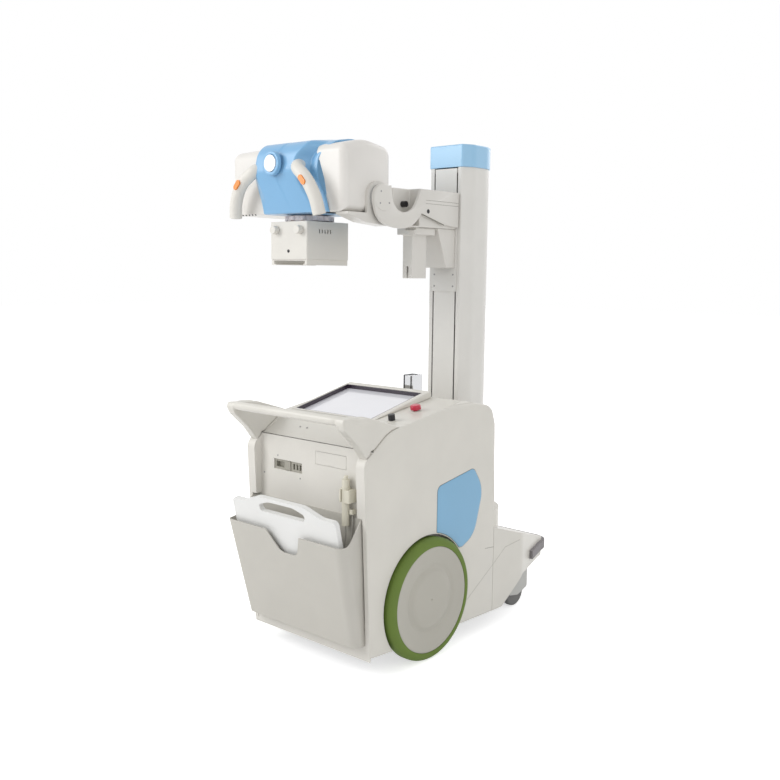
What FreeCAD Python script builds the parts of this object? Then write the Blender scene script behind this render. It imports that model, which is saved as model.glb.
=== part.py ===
import FreeCAD, Part
import math
import os

V = FreeCAD.Vector

# Driving dimensions in millimetres and degrees.
# Machine frame: X to the right side, Y forward to the column, Z up from the floor,
# with Y zero on the rear wheel axle and X zero on the centre line.

# Body form
body_half_width = 297.0
body_front_y = 400.0
body_low_rear_z = 82.0
body_low_front_z = 64.0
body_rear_foot_y = -284.0
body_rear_bulge_y = -318.0
deck_rear_y = -196.0
deck_crest_y = 205.0
deck_crest_z = 897.0
deck_rear_z = deck_crest_z - 65.0
deck_front_z = deck_crest_z - 40.0
body_rear_bulge_z = deck_crest_z - 155.0
body_wall = 4.0
shoulder_radius = 48.0
front_corner_radius = 90.0
front_corner_lean = 0.24
seam_half_width = body_half_width - 9.0
crown_half_width = body_half_width - 49.0
seam_gap = 0.3
seat_gap = 0.3
cut_reach = 2000.0
deck_split_y = 60.0
front_top_radius = 80.0

# Rear panel and its fittings
rear_panel_y = -282.5
rear_panel_thick = 4.0
rear_panel_top_z = deck_crest_z - 122.0
rear_panel_low_z = 66.0
rear_edge_half_width = body_half_width - 25.0
rear_slope_top_y = -158.0
recess_half_width = body_half_width - 48.0
recess_x0 = -183.0
recess_x1 = -39.0
recess_z1 = rear_panel_top_z - 84.0
recess_z0 = recess_z1 - 36.0
socket_count = 3
socket_pitch = 16.0
socket_width = 9.0
socket_height = 20.0
socket_depth = 10.0
inlet_width = 42.0
inlet_depth = 14.0
flap_x0 = 28.0
flap_x1 = 174.0
flap_z1 = rear_panel_top_z - 29.0
flap_z0 = flap_z1 - 46.0
flap_gap = 1.0
flap_thick = 2.0
flap_pin_radius = 1.5
flap_pin_z = flap_z1 - 3.0
flap_pin_set_back = 1.9

# Rear wheels
wheel_radius = 218.0
tyre_width = 58.0
wheel_face_x = body_half_width + 26.0
tyre_shoulder = 20.0
disc_radius = 188.0
disc_dish = 6.0
arch_clearance = 9.0
arch_wall = 4.0
arch_depth_clearance = 8.0
axle_radius = 15.0
axle_inner_x = wheel_face_x - 118.0
motor_radius = 58.0
motor_length = 120.0
running_clearance = 0.05

# Chassis
floor_z = 90.0
floor_thick = 8.0
chassis_half_width = body_half_width - 61.0
chassis_rear_y = -278.5
chassis_front_y = 396.0
side_plate_thick = 6.0
side_plate_top_z = 300.0
beam_z0 = 168.0
beam_height = 52.0
beam_width = 60.0
beam_x = chassis_half_width - 21.0
beam_front_y = 745.0
post_side = 20.0
frame_top_z = deck_crest_z - 137.0
shelf_z = 440.0
bearing_box_half = 120.0

# Units on the chassis
battery_length = 170.0
battery_height = 200.0
battery_width = 380.0
generator_length = 250.0
generator_height = 290.0
computer_height = 90.0
computer_length = 260.0
unit_width = 340.0

# Casters
caster_x = beam_x
caster_y = 700.0
caster_trail = 42.0
caster_wheel_radius = 58.0
caster_wheel_width = 30.0
caster_hood_wall = 4.0
caster_side_clearance = 2.5
caster_hood_top_z = 156.0
caster_stem_radius = 12.0
caster_pin_radius = 6.0

# Front base
base_half_width = body_half_width
base_taper_y = 600.0
base_front_half_width = beam_x - 3.0
base_front_y = 925.0
base_front_corner = 70.0
base_low_z = 160.0
base_rear_top_z = 396.0
base_front_top_z = 222.0
base_wall = 4.0
skirt_flat_y = 465.0
skirt_tip_y = 625.0
skirt_low_z = 63.0
collar_radius = 178.0
collar_top_z = 405.0
bumper_depth = 14.0
bumper_z0 = 192.0
bumper_z1 = 226.0
bumper_rear_y = 712.0

# Column
column_y = 544.0
column_width = 200.0
column_depth = 200.0
column_face_half = 75.0
column_flare = 45.0
column_flare_radius = 60.0
column_front_radius = 8.0
column_back_radius = 85.0
column_wall = 6.0
column_low_z = 411.0
column_top_z = 1840.0
cap_height = 85.0
cap_overhang = 3.0
slot_half_width = 58.0
slot_foot = 40.0
spindle_radius = 50.0
spindle_flange_radius = 110.0
spindle_flange_thick = 5.0
rail_radius = 8.0
rail_x = 68.0
rail_set_back = 44.0
strip_gap = 6.3
strip_half_width = slot_half_width - strip_gap
strip_thick = 3.0
strip_foot_height = 16.0
strip_foot_thick = 6.0
pulley_radius = 42.0
pulley_width = 30.0
pulley_pin_radius = 8.0
upper_pulley_z = column_top_z - 140.0
lower_pulley_z = 500.0
belt_thick = 2.0
belt_width = 24.0
belt_clearance = 0.3
weight_height = 520.0
weight_z0 = 620.0
weight_half_width = 66.0
weight_clearance = 0.8

# Carriage and arm, hung from the column's top
tilt_z = column_top_z - 230.0
carriage_z0 = tilt_z - 330.0
carriage_z1 = tilt_z + 40.0
carriage_plate_thick = 5.0
carriage_plate_half = slot_half_width + 2.0
carriage_plate_gap = 0.5
web_thick = 4.0
web_clearance = 1.0
arm_half_width = 70.0
arm_low_z = tilt_z - 92.0
arm_top_z = tilt_z + 47.0
arm_block_rear_y = 216.0
arm_block_gap = 7.0
tilt_y = 5.0
tilt_disc_radius = 48.0
side_plate_arm_thick = 12.0
inner_plate_x = 8.0
inner_plate_thick = 12.0
inner_plate_rear_y = 122.0
swan_low_z = tilt_z - 102.0
swan_inner_low_z = tilt_z - 43.0
swan_inner_rear_y = 50.0
swan_inner_front_y = 201.0
groove_rear_y = 241.0
groove_z = tilt_z + 6.0
groove_width = 4.0
plug_radius = 7.0
plug_y = 248.0
plug_z = tilt_z - 33.0
gusset_half_width = 52.0
gusset_low_z = tilt_z - 239.0
gusset_rear_y = 282.0
gusset_step_y = 396.0
mount_half_width = 43.0
mount_y0 = 208.0
mount_y1 = 330.0
mount_low_z = tilt_z - 119.0
post_half_width = 24.0
post_y0 = 219.0
post_y1 = 301.0
post_low_z = tilt_z - 280.0
post_wall = 4.0
post_slot_height = 45.0
post_slot_width = 9.0
knob_radius = 11.0
knob_height = 20.0
knob_spindle_radius = 5.0
knob_y = 176.0
knob_z = tilt_z - 10.0

# Tilting head
head_x = -262.0
head_left_x = -560.0
head_right_x = 35.0
head_low_z = tilt_z - 54.0
head_height = 238.0
head_top_z = head_low_z + head_height
head_rear_y = 88.0
head_front_y = -154.0
centre_x0 = -433.0
centre_x1 = -91.0
bulge_half_width = 96.0
bulge_y = -214.0
head_wall = 4.0
cover_gap = 0.4
light_radius = 29.0
light_rim = 16.0
light_z = tilt_z + 118.0
light_boss = 12.0
tube_radius = 72.0
tube_z = tilt_z + 42.0
beam_y = -33.0
grip_radius = 23.0
grip_y = -200.0
grip_root_spread = 98.0
grip_root_z = tilt_z + 112.0
grip_knee_spread = 176.0
grip_knee_z = tilt_z + 54.0
grip_end_spread = 222.0
grip_end_z = tilt_z - 65.0
outlet_x0 = -428.0
outlet_width = 72.0
outlet_depth = 52.0
outlet_low_z = tilt_z - 110.0
pod_x0 = -12.0
pod_low_z = tilt_z - 96.0
ear_thick = 11.0
ear_radius = 58.0
tilt_shaft_radius = 20.0
ring_radius = 45.0
swivel_radius = 93.0
swivel_top_z = tilt_z - 58.0
swivel_low_z = tilt_z - 77.0
swivel_lobes = 12
port_radius = 55.0
button_spread = grip_knee_spread - 4.0
button_z = grip_knee_z - 3.0
button_turn = 47.0
button_seat = 9.0
button_half_length = 20.0
button_radius = 9.5
button_stand = 2.5
button_travel = 1.5
button_gap = 0.3

# Collimator
collimator_width = 194.0
collimator_length = 213.0
collimator_top_z = tilt_z - 80.0
collimator_box_z = tilt_z - 216.0
collimator_low_z = tilt_z - 236.0
collimator_wall = 4.0
collimator_knob_x = 63.0
collimator_knob_z = tilt_z - 110.0
collimator_knob_radius = 15.0
collimator_knob_length = 22.0
dial_spindle_radius = 4.0
window_half = 60.0
rail_width = 12.0
lip_width = 20.0
lip_thick = 4.0
plate_thick = 4.0
vent_count = 5
vent_pitch = 14.0
vent_width = 5.0
vent_z = tilt_z - 122.0
vent_height = 14.0

# Console
monitor_x0 = -255.0
monitor_x1 = 125.0
monitor_y0 = -111.0
monitor_y1 = 166.0
monitor_rise = 13.6
monitor_margin = 10.0
monitor_border = 24.0
bezel_width = 3.0
bezel_top_z0 = deck_crest_z - 52.0
bezel_depth = 19.0
screen_thick = 3.0
screen_recess = 14.0
tub_depth = 27.0
tub_wall = 6.0
control_x = 210.0
key_y = -97.0
stop_y = 30.0
stop_radius = 19.0
stop_height = 16.0
stop_stem_radius = 8.0
stop_head_low = 8.0
key_radius = 12.0
key_height = 20.0
key_stem_radius = 5.0
key_head_low = 4.0
control_stem_depth = 18.0
receiver_y = 260.0
receiver_half_width = 25.0
receiver_half_length = 30.0
receiver_top_z = deck_crest_z + 68.0

# Push handle
handle_bar_y = -400.0
handle_bar_z = deck_crest_z - 12.0
handle_bar_radius = 15.0
handle_half_span = body_half_width - 9.0
handle_bend = 55.0
handle_return = 90.0
horn_waist_z = deck_crest_z - 97.0
horn_crest_y = handle_bar_y + 100.0
horn_tip_y = deck_rear_y + 31.0
horn_inner_x = body_half_width - 47.0
horn_outer_x = body_half_width - 11.0
horn_foot_y = -304.0
horn_foot_z = deck_crest_z - 141.0

# Storage bin and detector
bin_rear_half_width = body_half_width - 33.0
bin_low_half_width = body_half_width - 31.0
bin_top_half_width = body_half_width - 19.0
bin_low_y = -325.4
bin_rim_y = -407.0
bin_low_z = 118.0
bin_rim_z = 475.0
bin_side_rim_z = 550.0
bin_wall = 4.0
bin_left_flare = 26.0
bin_left_corner = 20.0
bin_corner = 34.0
detector_half_width = bin_low_half_width - 10.5
detector_length = 447.0
detector_thick = 18.0
detector_gap = 12.0
detector_shift_x = -8.0
detector_grip_rise = 28.0
detector_grip_half_length = 150.0
detector_hole_half_length = 112.0
detector_hole_height = 40.0
detector_bar = 13.0

# Hand switch
switch_x = rear_edge_half_width - 81.0
switch_stand = 19.0
switch_radius = 13.0
switch_top_z = rear_panel_top_z - 99.0
switch_low_z = switch_top_z - 156.0
switch_clearance = 0.3
plunger_radius = 7.0
plunger_length = 18.0
well_depth = 12.0
holder_z1 = switch_top_z - 33.0
holder_z0 = holder_z1 - 43.0
holder_width = 46.0
holder_depth = 36.0
cord_radius = 2.6
gland_x = switch_x + 23.0
gland_depth = 19.0
gland_z = holder_z0 - 40.0

# The origin stands on the floor under the middle of the overall box.
handle_rear_y = handle_bar_y - handle_bar_radius
base_nose_y = base_front_y + bumper_depth
shift_x = -(head_left_x + wheel_face_x) / 2
bin_lean_slope = (bin_low_y - bin_rim_y) / (bin_rim_z - bin_low_z)
bin_lean_angle = math.atan(bin_lean_slope)
detector_foot_y = bin_low_y + (bin_wall + detector_gap) / math.cos(bin_lean_angle)
detector_top_y = detector_foot_y - (detector_length + detector_grip_rise) * math.sin(bin_lean_angle)
rear_most_y = min(handle_rear_y, detector_top_y)
shift_y = -(rear_most_y + base_nose_y) / 2


# Basic solids

def box(x0, x1, y0, y1, z0, z1):
    return Part.makeBox(x1 - x0, y1 - y0, z1 - z0, V(x0, y0, z0))


def rod(radius, start, end):
    axis = V(*end) - V(*start)
    return Part.makeCylinder(radius, axis.Length, V(*start), axis)


def join(solids):
    whole = solids[0].multiFuse(solids[1:])
    return whole.removeSplitter()


def group(solids):
    return Part.makeCompound(solids)


def rounded_wire(corners, place):
    """Closed outline with each corner (a, b, radius) rounded by a tangent arc."""
    count = len(corners)
    starts = []
    ends = []
    middles = []
    for i in range(count):
        a, b, radius = corners[i]
        here = V(a, b, 0)
        before = V(corners[i - 1][0], corners[i - 1][1], 0)
        after = V(corners[(i + 1) % count][0], corners[(i + 1) % count][1], 0)
        into = (before - here).normalize()
        out = (after - here).normalize()
        opening = into.getAngle(out)
        if radius <= 0:
            starts.append(here)
            ends.append(here)
            middles.append(None)
            continue
        reach = radius / math.tan(opening / 2)
        inward = (into + out).normalize()
        centre = here + inward * (radius / math.sin(opening / 2))
        starts.append(here + into * reach)
        ends.append(here + out * reach)
        middles.append(centre - inward * radius)
    edges = []
    for i in range(count):
        if middles[i] is not None:
            edges.append(Part.Arc(place(starts[i]), place(middles[i]), place(ends[i])).toShape())
        following = starts[(i + 1) % count]
        if (following - ends[i]).Length > 1e-6:
            edges.append(Part.LineSegment(place(ends[i]), place(following)).toShape())
    return Part.Wire(edges)


def outline_face(corners, place, inset=0.0):
    face = Part.Face(rounded_wire(corners, place))
    if inset:
        face = face.makeOffset2D(-inset)
    return face


def prism_x(corners, x0, x1, inset=0.0):
    """Outline in (y, z) carried along X."""
    face = outline_face(corners, lambda p: V(x0, p.x, p.y), inset)
    return face.extrude(V(x1 - x0, 0, 0))


def prism_y(corners, y0, y1, inset=0.0):
    """Outline in (x, z) carried along Y."""
    face = outline_face(corners, lambda p: V(p.x, y0, p.y), inset)
    return face.extrude(V(0, y1 - y0, 0))


def prism_z(corners, z0, z1, inset=0.0, lean=0.0):
    """Outline in (x, y) carried along Z, leaning in Y as it rises."""
    face = outline_face(corners, lambda p: V(p.x, p.y, z0), inset)
    return face.extrude(V(0, lean * (z1 - z0), z1 - z0))


def mirrored(shape, x=0.0):
    return shape.mirror(V(x, 0, 0), V(1, 0, 0))


def turned(shape, centre, axis, degrees):
    copy = shape.copy()
    copy.rotate(V(*centre), V(*axis), degrees)
    return copy


def round_path(points, share=0.45):
    """Straight runs joined by tangent arcs as large as the runs allow."""
    pts = [V(*p) for p in points]
    edges = []
    last = pts[0]
    for i in range(1, len(pts) - 1):
        into = pts[i - 1] - pts[i]
        out = pts[i + 1] - pts[i]
        turn = math.pi - into.getAngle(out)
        cut = share * min(into.Length, out.Length)
        radius = cut / math.tan(turn / 2)
        a = pts[i] + into.normalize() * cut
        b = pts[i] + out.normalize() * cut
        inward = (into + out).normalize()
        middle = pts[i] + inward * (radius / math.cos(turn / 2) - radius)
        edges.append(Part.LineSegment(last, a).toShape())
        edges.append(Part.Arc(a, middle, b).toShape())
        last = b
    edges.append(Part.LineSegment(last, pts[-1]).toShape())
    return Part.Wire(edges)


def tube_along(points, radius):
    start = V(*points[0])
    section = Part.Wire(Part.Circle(start, V(*points[1]) - start, radius).toShape())
    return round_path(points).makePipeShell([section], True, False)


# Body form

def side_profile():
    """Outline of the body seen from the side."""
    return [
        (body_rear_foot_y, body_low_rear_z, 0),
        (body_rear_bulge_y, body_rear_bulge_z, 42),
        (deck_rear_y, deck_rear_z, 150),
        (deck_crest_y, deck_crest_z, 110),
        (body_front_y, deck_front_z, front_top_radius),
        (body_front_y, body_low_front_z, 0),
    ]


def front_profile():
    """Outline of the body seen from behind, with its rounded shoulders."""
    top = deck_crest_z + 2 * body_wall
    return [
        (-body_half_width, body_low_front_z - 20, 0),
        (-body_half_width, top - 8, shoulder_radius),
        (-crown_half_width, top + 4, 0),
        (crown_half_width, top + 4, 0),
        (body_half_width, top - 8, shoulder_radius),
        (body_half_width, body_low_front_z - 20, 0),
    ]


def plan_profile():
    """Outline of the body seen from above, with rounded front corners."""
    back = body_rear_bulge_y - 60 - front_corner_lean * deck_crest_z
    return [
        (-body_half_width, back, 0),
        (body_half_width, back, 0),
        (body_half_width, body_front_y, front_corner_radius),
        (-body_half_width, body_front_y, front_corner_radius),
    ]


def body_form(inset):
    long_form = prism_x(side_profile(), -body_half_width, body_half_width, inset)
    wide_form = prism_y(front_profile(), body_rear_bulge_y, body_front_y, inset)
    lean_run = deck_crest_z - body_low_front_z + 100
    plan = prism_z(plan_profile(), deck_crest_z + 20, deck_crest_z + 20 - lean_run, inset,
                   -front_corner_lean)
    return long_form.common(wide_form).common(plan)


def arch_radius():
    return wheel_radius + arch_clearance


def arch_inner_x():
    return wheel_face_x - tyre_width - arch_depth_clearance


def side_cover():
    """Right side shell with its wheel arch."""
    far = body_half_width + 10
    zone = box(seam_half_width, far, -cut_reach, cut_reach, 0, cut_reach)
    skin = body_form(0).common(zone).cut(body_form(body_wall))
    radius = arch_radius()
    inner_x = arch_inner_x()
    hub = (0, wheel_radius)
    open_arch = rod(radius, (inner_x, *hub), (far, *hub))
    cup = rod(radius + arch_wall, (inner_x - arch_wall, *hub), (body_half_width, *hub))
    cup = cup.cut(open_arch)
    cup = cup.cut(rod(axle_radius + 6, (inner_x - 10, *hub), (far, *hub)))
    cup = cup.common(prism_x(side_profile(), 0, body_half_width))
    return join([skin.cut(open_arch), cup])


def rear_recess(grow):
    """Space between the handle's horns where the deck falls to the rear panel."""
    low_y = rear_panel_y + grow
    high_y = rear_slope_top_y + grow
    slope_top = deck_height(rear_slope_top_y) + 0.5
    corners = [
        (-cut_reach, rear_panel_top_z - 120, 0),
        (low_y, rear_panel_top_z - 120, 0),
        (low_y, rear_panel_top_z, 0),
        (high_y, slope_top, 0),
        (high_y, cut_reach, 0),
        (-cut_reach, cut_reach, 0),
    ]
    half = recess_half_width + grow
    return prism_x(corners, -half, half)


def top_cover():
    """Deck, rear slope and front wall in one shell, with the control collars."""
    half = seam_half_width - seam_gap
    front_wall_low = collar_top_z + 8
    rear_zone = box(-half, half, -cut_reach, deck_split_y, rear_panel_top_z + seam_gap, cut_reach)
    front_zone = box(-half, half, deck_split_y, cut_reach, front_wall_low, cut_reach)
    outer = body_form(0).cut(rear_recess(0))
    inner = body_form(body_wall).cut(rear_recess(body_wall))
    shell = outer.cut(inner).common(rear_zone.fuse(front_zone))
    shell = shell.cut(monitor_tub(tub_wall, -tub_depth - 40, 60))
    tail = box(-half, half, -cut_reach, rear_panel_y, 0, rear_panel_top_z + 60)
    shell = shell.cut(tail)
    shell = max(shell.Solids, key=lambda solid: solid.Volume)
    collars = [control_collar(key_y, key_radius + 6), control_collar(stop_y, stop_radius + 2)]
    shell = join([shell] + collars)
    for y, radius in ((key_y, key_stem_radius), (stop_y, stop_stem_radius)):
        shell = shell.cut(control_rod(y, radius + running_clearance, -control_stem_depth - 2, 30))
    return shell


def deck_slope():
    return math.degrees(math.atan2(deck_crest_z - deck_rear_z, deck_crest_y - deck_rear_y))


def deck_height(y):
    return deck_rear_z + (y - deck_rear_y) * math.tan(math.radians(deck_slope()))


def control_rod(y, radius, low, high, x=control_x):
    """Cylinder square to the sloping deck at one control's place."""
    base = Part.makeCylinder(radius, high - low, V(x, y, deck_height(y) + low))
    return turned(base, (x, y, deck_height(y)), (1, 0, 0), deck_slope())


def control_collar(y, radius):
    return control_rod(y, radius, -1.0, 3.0)


def rear_panel():
    half = seam_half_width - seam_gap
    y0 = rear_panel_y
    y1 = rear_panel_y + rear_panel_thick
    panel = box(-half, half, y0, y1, rear_panel_low_z, rear_panel_top_z)
    panel = join([panel] + rear_edges(half))
    window = box(recess_x0, recess_x1, y0 - 1, y1 + 1, recess_z0, recess_z1)
    flap_seat = box(flap_x0, flap_x1, y0 - 1, y0 + flap_thick + 0.4, flap_z0, flap_z1)
    pin_room = flap_rod(flap_pin_radius + running_clearance, 5)
    knuckle_room = flap_rod(flap_pin_radius * 2.2, 0)
    return panel.cut(window).cut(flap_seat).cut(pin_room).cut(knuckle_room)


def rear_edges(half):
    """Thick edges that bring the panel out to the side shells' rounded rear."""
    form = body_form(0)
    above_bin = bin_side_rim_z + 6
    back = body_rear_bulge_y - 60
    edges = []
    for side in (-1, 1):
        full = sorted((side * rear_edge_half_width, side * half))
        upper = sorted((side * (recess_half_width + 1), side * half))
        low_zone = box(full[0], full[1], back, rear_panel_y + 1, rear_panel_low_z, above_bin)
        top_zone = box(upper[0], upper[1], back, rear_panel_y + 1, above_bin, rear_panel_top_z)
        edges.append(form.common(low_zone.fuse(top_zone)))
    return edges


def flap_rod(radius, beyond):
    """Cylinder on the lid's hinge line, running a little past both ends of its seat."""
    y = rear_panel_y + flap_pin_set_back
    return rod(radius, (flap_x0 - beyond, y, flap_pin_z), (flap_x1 + beyond, y, flap_pin_z))


def service_flap():
    """Small lid hinged on a pin along its top edge."""
    y0 = rear_panel_y
    lid = box(flap_x0 + flap_gap, flap_x1 - flap_gap, y0 - 0.2, y0 + flap_thick - 0.2,
              flap_z0 + flap_gap, flap_z1 - flap_gap)
    middle = (flap_x0 + flap_x1) / 2
    grip = box(middle - 14, middle + 14, y0 - 1, y0 + 0.8, flap_z0, flap_z0 + 4)
    return join([lid.cut(grip), flap_rod(flap_pin_radius, 4)])


def connector_module():
    """Socket block behind the opening in the rear panel."""
    y1 = rear_panel_y + rear_panel_thick
    plate = box(recess_x0 - 8, recess_x1 + 8, y1, y1 + 3, recess_z0 - 8, recess_z1 + 8)
    body = box(recess_x0 - 2, recess_x1 + 2, y1 + 3, y1 + 45, recess_z0 - 2, recess_z1 + 2)
    block = box(recess_x0 + 62, recess_x0 + 84, y1 - 3.5, y1, recess_z0 + 2, recess_z1 - 2)
    module = join([plate, body, block])
    for i in range(socket_count):
        x = recess_x0 + 96 + socket_pitch * i
        z = (recess_z0 + recess_z1) / 2
        module = module.cut(box(x, x + socket_width, y1 - 5, y1 + socket_depth,
                                z - socket_height / 2, z + socket_height / 2))
    inlet = box(recess_x0 + 8, recess_x0 + 8 + inlet_width, y1 - 1, y1 + inlet_depth,
                recess_z0 + 8, recess_z1 - 8)
    return module.cut(inlet)


def blue_panels():
    """Inlays on both side shells; each lower edge follows the wheel arch."""
    arch_top = wheel_radius + arch_radius()
    corners = [
        (48, arch_top - 45, 4),
        (44, arch_top + 163, 36),
        (150, arch_top + 167, 160),
        (262, arch_top + 201, 26),
        (312, arch_top + 85, 110),
        (200, arch_top - 93, 12),
    ]
    right = prism_x(corners, body_half_width, body_half_width + 2)
    hub = (0, wheel_radius)
    far = body_half_width + 10
    right = right.cut(rod(arch_radius() + 6, (chassis_half_width, *hub), (far, *hub)))
    return group([right, mirrored(right)])


# Chassis and what stands on it

def chassis_frame():
    half = chassis_half_width
    floor = box(-half, half, chassis_rear_y, chassis_front_y, floor_z, floor_z + floor_thick)
    parts = [floor]
    top = floor_z + floor_thick
    hub = (0, wheel_radius)
    for side in (-1, 1):
        x0 = side * half if side < 0 else half - side_plate_thick
        plate = box(x0, x0 + side_plate_thick, chassis_rear_y, chassis_front_y, top, side_plate_top_z)
        plate = plate.cut(rod(axle_radius + 8, (x0 - 5, *hub), (x0 + 15, *hub)))
        parts.append(plate)
        bx = side * beam_x
        beam_z1 = beam_z0 + beam_height
        beam = box(bx - beam_width / 2, bx + beam_width / 2, 240, beam_front_y, beam_z0, beam_z1)
        inner = box(bx - beam_width / 2 + 4, bx + beam_width / 2 - 4, 230, beam_front_y + 5,
                    beam_z0 + 4, beam_z1 - 4)
        boss = Part.makeCylinder(caster_stem_radius + 9, beam_height, V(bx, caster_y, beam_z0))
        beam = beam.cut(inner).fuse(boss)
        stem = Part.makeCylinder(caster_stem_radius + running_clearance, beam_height + 2,
                                 V(bx, caster_y, beam_z0 - 1))
        parts.append(beam.cut(stem))
        for y0 in (chassis_rear_y, chassis_front_y - post_side):
            px0 = side * (half - post_side) if side > 0 else -half
            parts.append(box(px0, px0 + post_side, y0, y0 + post_side, top, frame_top_z))
    inner_half = beam_x - beam_width / 2
    for y0 in (chassis_rear_y, chassis_front_y - post_side):
        parts.append(box(-half, half, y0, y0 + post_side, frame_top_z - post_side, frame_top_z))
    parts.append(box(-half, half, chassis_rear_y, 200, shelf_z, shelf_z + 5))
    cross_y0 = beam_front_y - beam_width
    parts.append(box(-inner_half, inner_half, cross_y0, beam_front_y, beam_z0, beam_z0 + beam_height))
    pivot_box = box(-inner_half, inner_half, column_y - bearing_box_half, column_y + bearing_box_half,
                    beam_z0, beam_z0 + beam_height + 40)
    pivot_box = pivot_box.cut(Part.makeCylinder(spindle_radius + running_clearance, 200,
                                                V(0, column_y, beam_z0 + 12)))
    parts.append(pivot_box)
    return join(parts)


def internal_units():
    """Battery, high voltage generator and computer, each bolted down."""
    low = floor_z + floor_thick
    y0 = chassis_rear_y + post_side + 4
    battery = box(-battery_width / 2, battery_width / 2, y0, y0 + battery_length, low, low + battery_height)
    g0 = motor_radius + 22
    half = unit_width / 2
    generator = box(-half, half, g0, g0 + generator_length, low, low + generator_height)
    shelf = shelf_z + 5
    computer = box(-half, half, y0, y0 + computer_length, shelf, shelf + computer_height)
    return group([battery, generator, computer])


def drive_motors():
    """Geared wheel motors bolted inside the side plates."""
    hub = (0, wheel_radius)
    x1 = chassis_half_width - side_plate_thick
    body = rod(motor_radius, (x1 - motor_length, *hub), (x1, *hub))
    brake = rod(motor_radius - 14, (x1 - motor_length - 30, *hub), (x1 - motor_length, *hub))
    motor = join([body, brake])
    motor = motor.cut(rod(axle_radius + running_clearance, (axle_inner_x - 0.5, *hub), (x1 + 5, *hub)))
    return group([motor, mirrored(motor)])


def wheel_disc():
    """Dished wheel with its drive axle."""
    hub = (0, wheel_radius)
    x0 = wheel_face_x - tyre_width
    disc = rod(disc_radius, (x0 + 10, *hub), (wheel_face_x, *hub))
    dish = rod(disc_radius * 0.62, (wheel_face_x - disc_dish, *hub), (wheel_face_x + 1, *hub))
    back = rod(disc_radius - 18, (x0 + 9, *hub), (wheel_face_x - 16, *hub))
    boss = rod(axle_radius + 14, (x0 + 4, *hub), (wheel_face_x - 16, *hub))
    axle = rod(axle_radius, (axle_inner_x, *hub), (x0 + 20, *hub))
    raised = rod(disc_radius * 0.56, (wheel_face_x - disc_dish, *hub), (wheel_face_x - 2, *hub))
    return join([disc.cut(dish).cut(back), boss, axle, raised])


def tyre():
    hub = (0, wheel_radius)
    x0 = wheel_face_x - tyre_width
    body = rod(wheel_radius, (x0, *hub), (wheel_face_x, *hub))
    rims = [e for e in body.Edges if e.Closed]
    body = body.makeFillet(tyre_shoulder, rims)
    return body.cut(rod(disc_radius + 0.01, (x0 - 1, *hub), (wheel_face_x + 1, *hub)))


# Casters

def caster_fork():
    """Hood and stem of the right caster, over its trailing wheel."""
    half = caster_wheel_width / 2 + caster_side_clearance
    outer_half = half + caster_hood_wall
    wheel_y = caster_y - caster_trail
    wheel_z = caster_wheel_radius
    hood = [
        (wheel_y - 48, wheel_z - 4, 6),
        (wheel_y - 48, caster_hood_top_z, 40),
        (caster_y + 34, caster_hood_top_z, 14),
        (caster_y + 34, wheel_z + 8, 10),
        (wheel_y + 10, wheel_z - 14, 16),
    ]
    body = prism_x(hood, caster_x - outer_half, caster_x + outer_half)
    room_ends = [(caster_x + side * half, wheel_y, wheel_z) for side in (-1, 1)]
    room = rod(caster_wheel_radius + 4, *room_ends)
    drop = box(caster_x - half, caster_x + half, wheel_y - 60, caster_y + 16, 0, wheel_z + 10)
    body = body.cut(room).cut(drop)
    pin_hole = rod(caster_pin_radius, (caster_x - 60, wheel_y, wheel_z), (caster_x + 60, wheel_y, wheel_z))
    body = body.cut(pin_hole)
    plate = Part.makeCylinder(caster_stem_radius + 14, beam_z0 - 0.4 - caster_hood_top_z,
                              V(caster_x, caster_y, caster_hood_top_z))
    stem = Part.makeCylinder(caster_stem_radius, beam_height - 6, V(caster_x, caster_y, caster_hood_top_z))
    pin = rod(caster_pin_radius, (caster_x - outer_half, wheel_y, wheel_z),
              (caster_x + outer_half, wheel_y, wheel_z))
    return join([body, plate, stem, pin])


def caster_wheel():
    half = caster_wheel_width / 2
    wheel_y = caster_y - caster_trail
    centre = (wheel_y, caster_wheel_radius)
    wheel = rod(caster_wheel_radius, (caster_x - half, *centre), (caster_x + half, *centre))
    wheel = wheel.makeFillet(8, [e for e in wheel.Edges if e.Closed])
    bore = rod(caster_pin_radius + running_clearance, (caster_x - 40, *centre), (caster_x + 40, *centre))
    return wheel.cut(bore)


# Front base

def base_plan():
    start = body_front_y + seam_gap
    return [
        (-base_half_width, start, 0),
        (base_half_width, start, 0),
        (base_half_width, base_taper_y, 120),
        (base_front_half_width + 6, 840, 60),
        (base_front_half_width - 16, base_front_y, base_front_corner),
        (-base_front_half_width + 16, base_front_y, base_front_corner),
        (-base_front_half_width - 6, 840, 60),
        (-base_half_width, base_taper_y, 120),
    ]


def base_form(inset):
    """Base outline under its sloping top, with the round collar below the column."""
    top = [
        (body_front_y - 60, base_low_z - 10, 0),
        (base_front_y + 20, base_low_z - 10, 0),
        (base_front_y + 20, base_front_top_z - inset, 0),
        (body_front_y - 60, base_rear_top_z + 14 - inset, 0),
    ]
    slab = prism_z(base_plan(), base_low_z if not inset else base_low_z - 20, 500, inset)
    slab = slab.common(prism_x(top, -cut_reach, cut_reach))
    collar = Part.makeCylinder(collar_radius - inset, collar_top_z - inset - base_low_z,
                               V(0, column_y, base_low_z))
    keep = box(-cut_reach, cut_reach, body_front_y + seam_gap + inset, cut_reach, 0, cut_reach)
    return slab.fuse(collar.common(keep))


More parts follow.
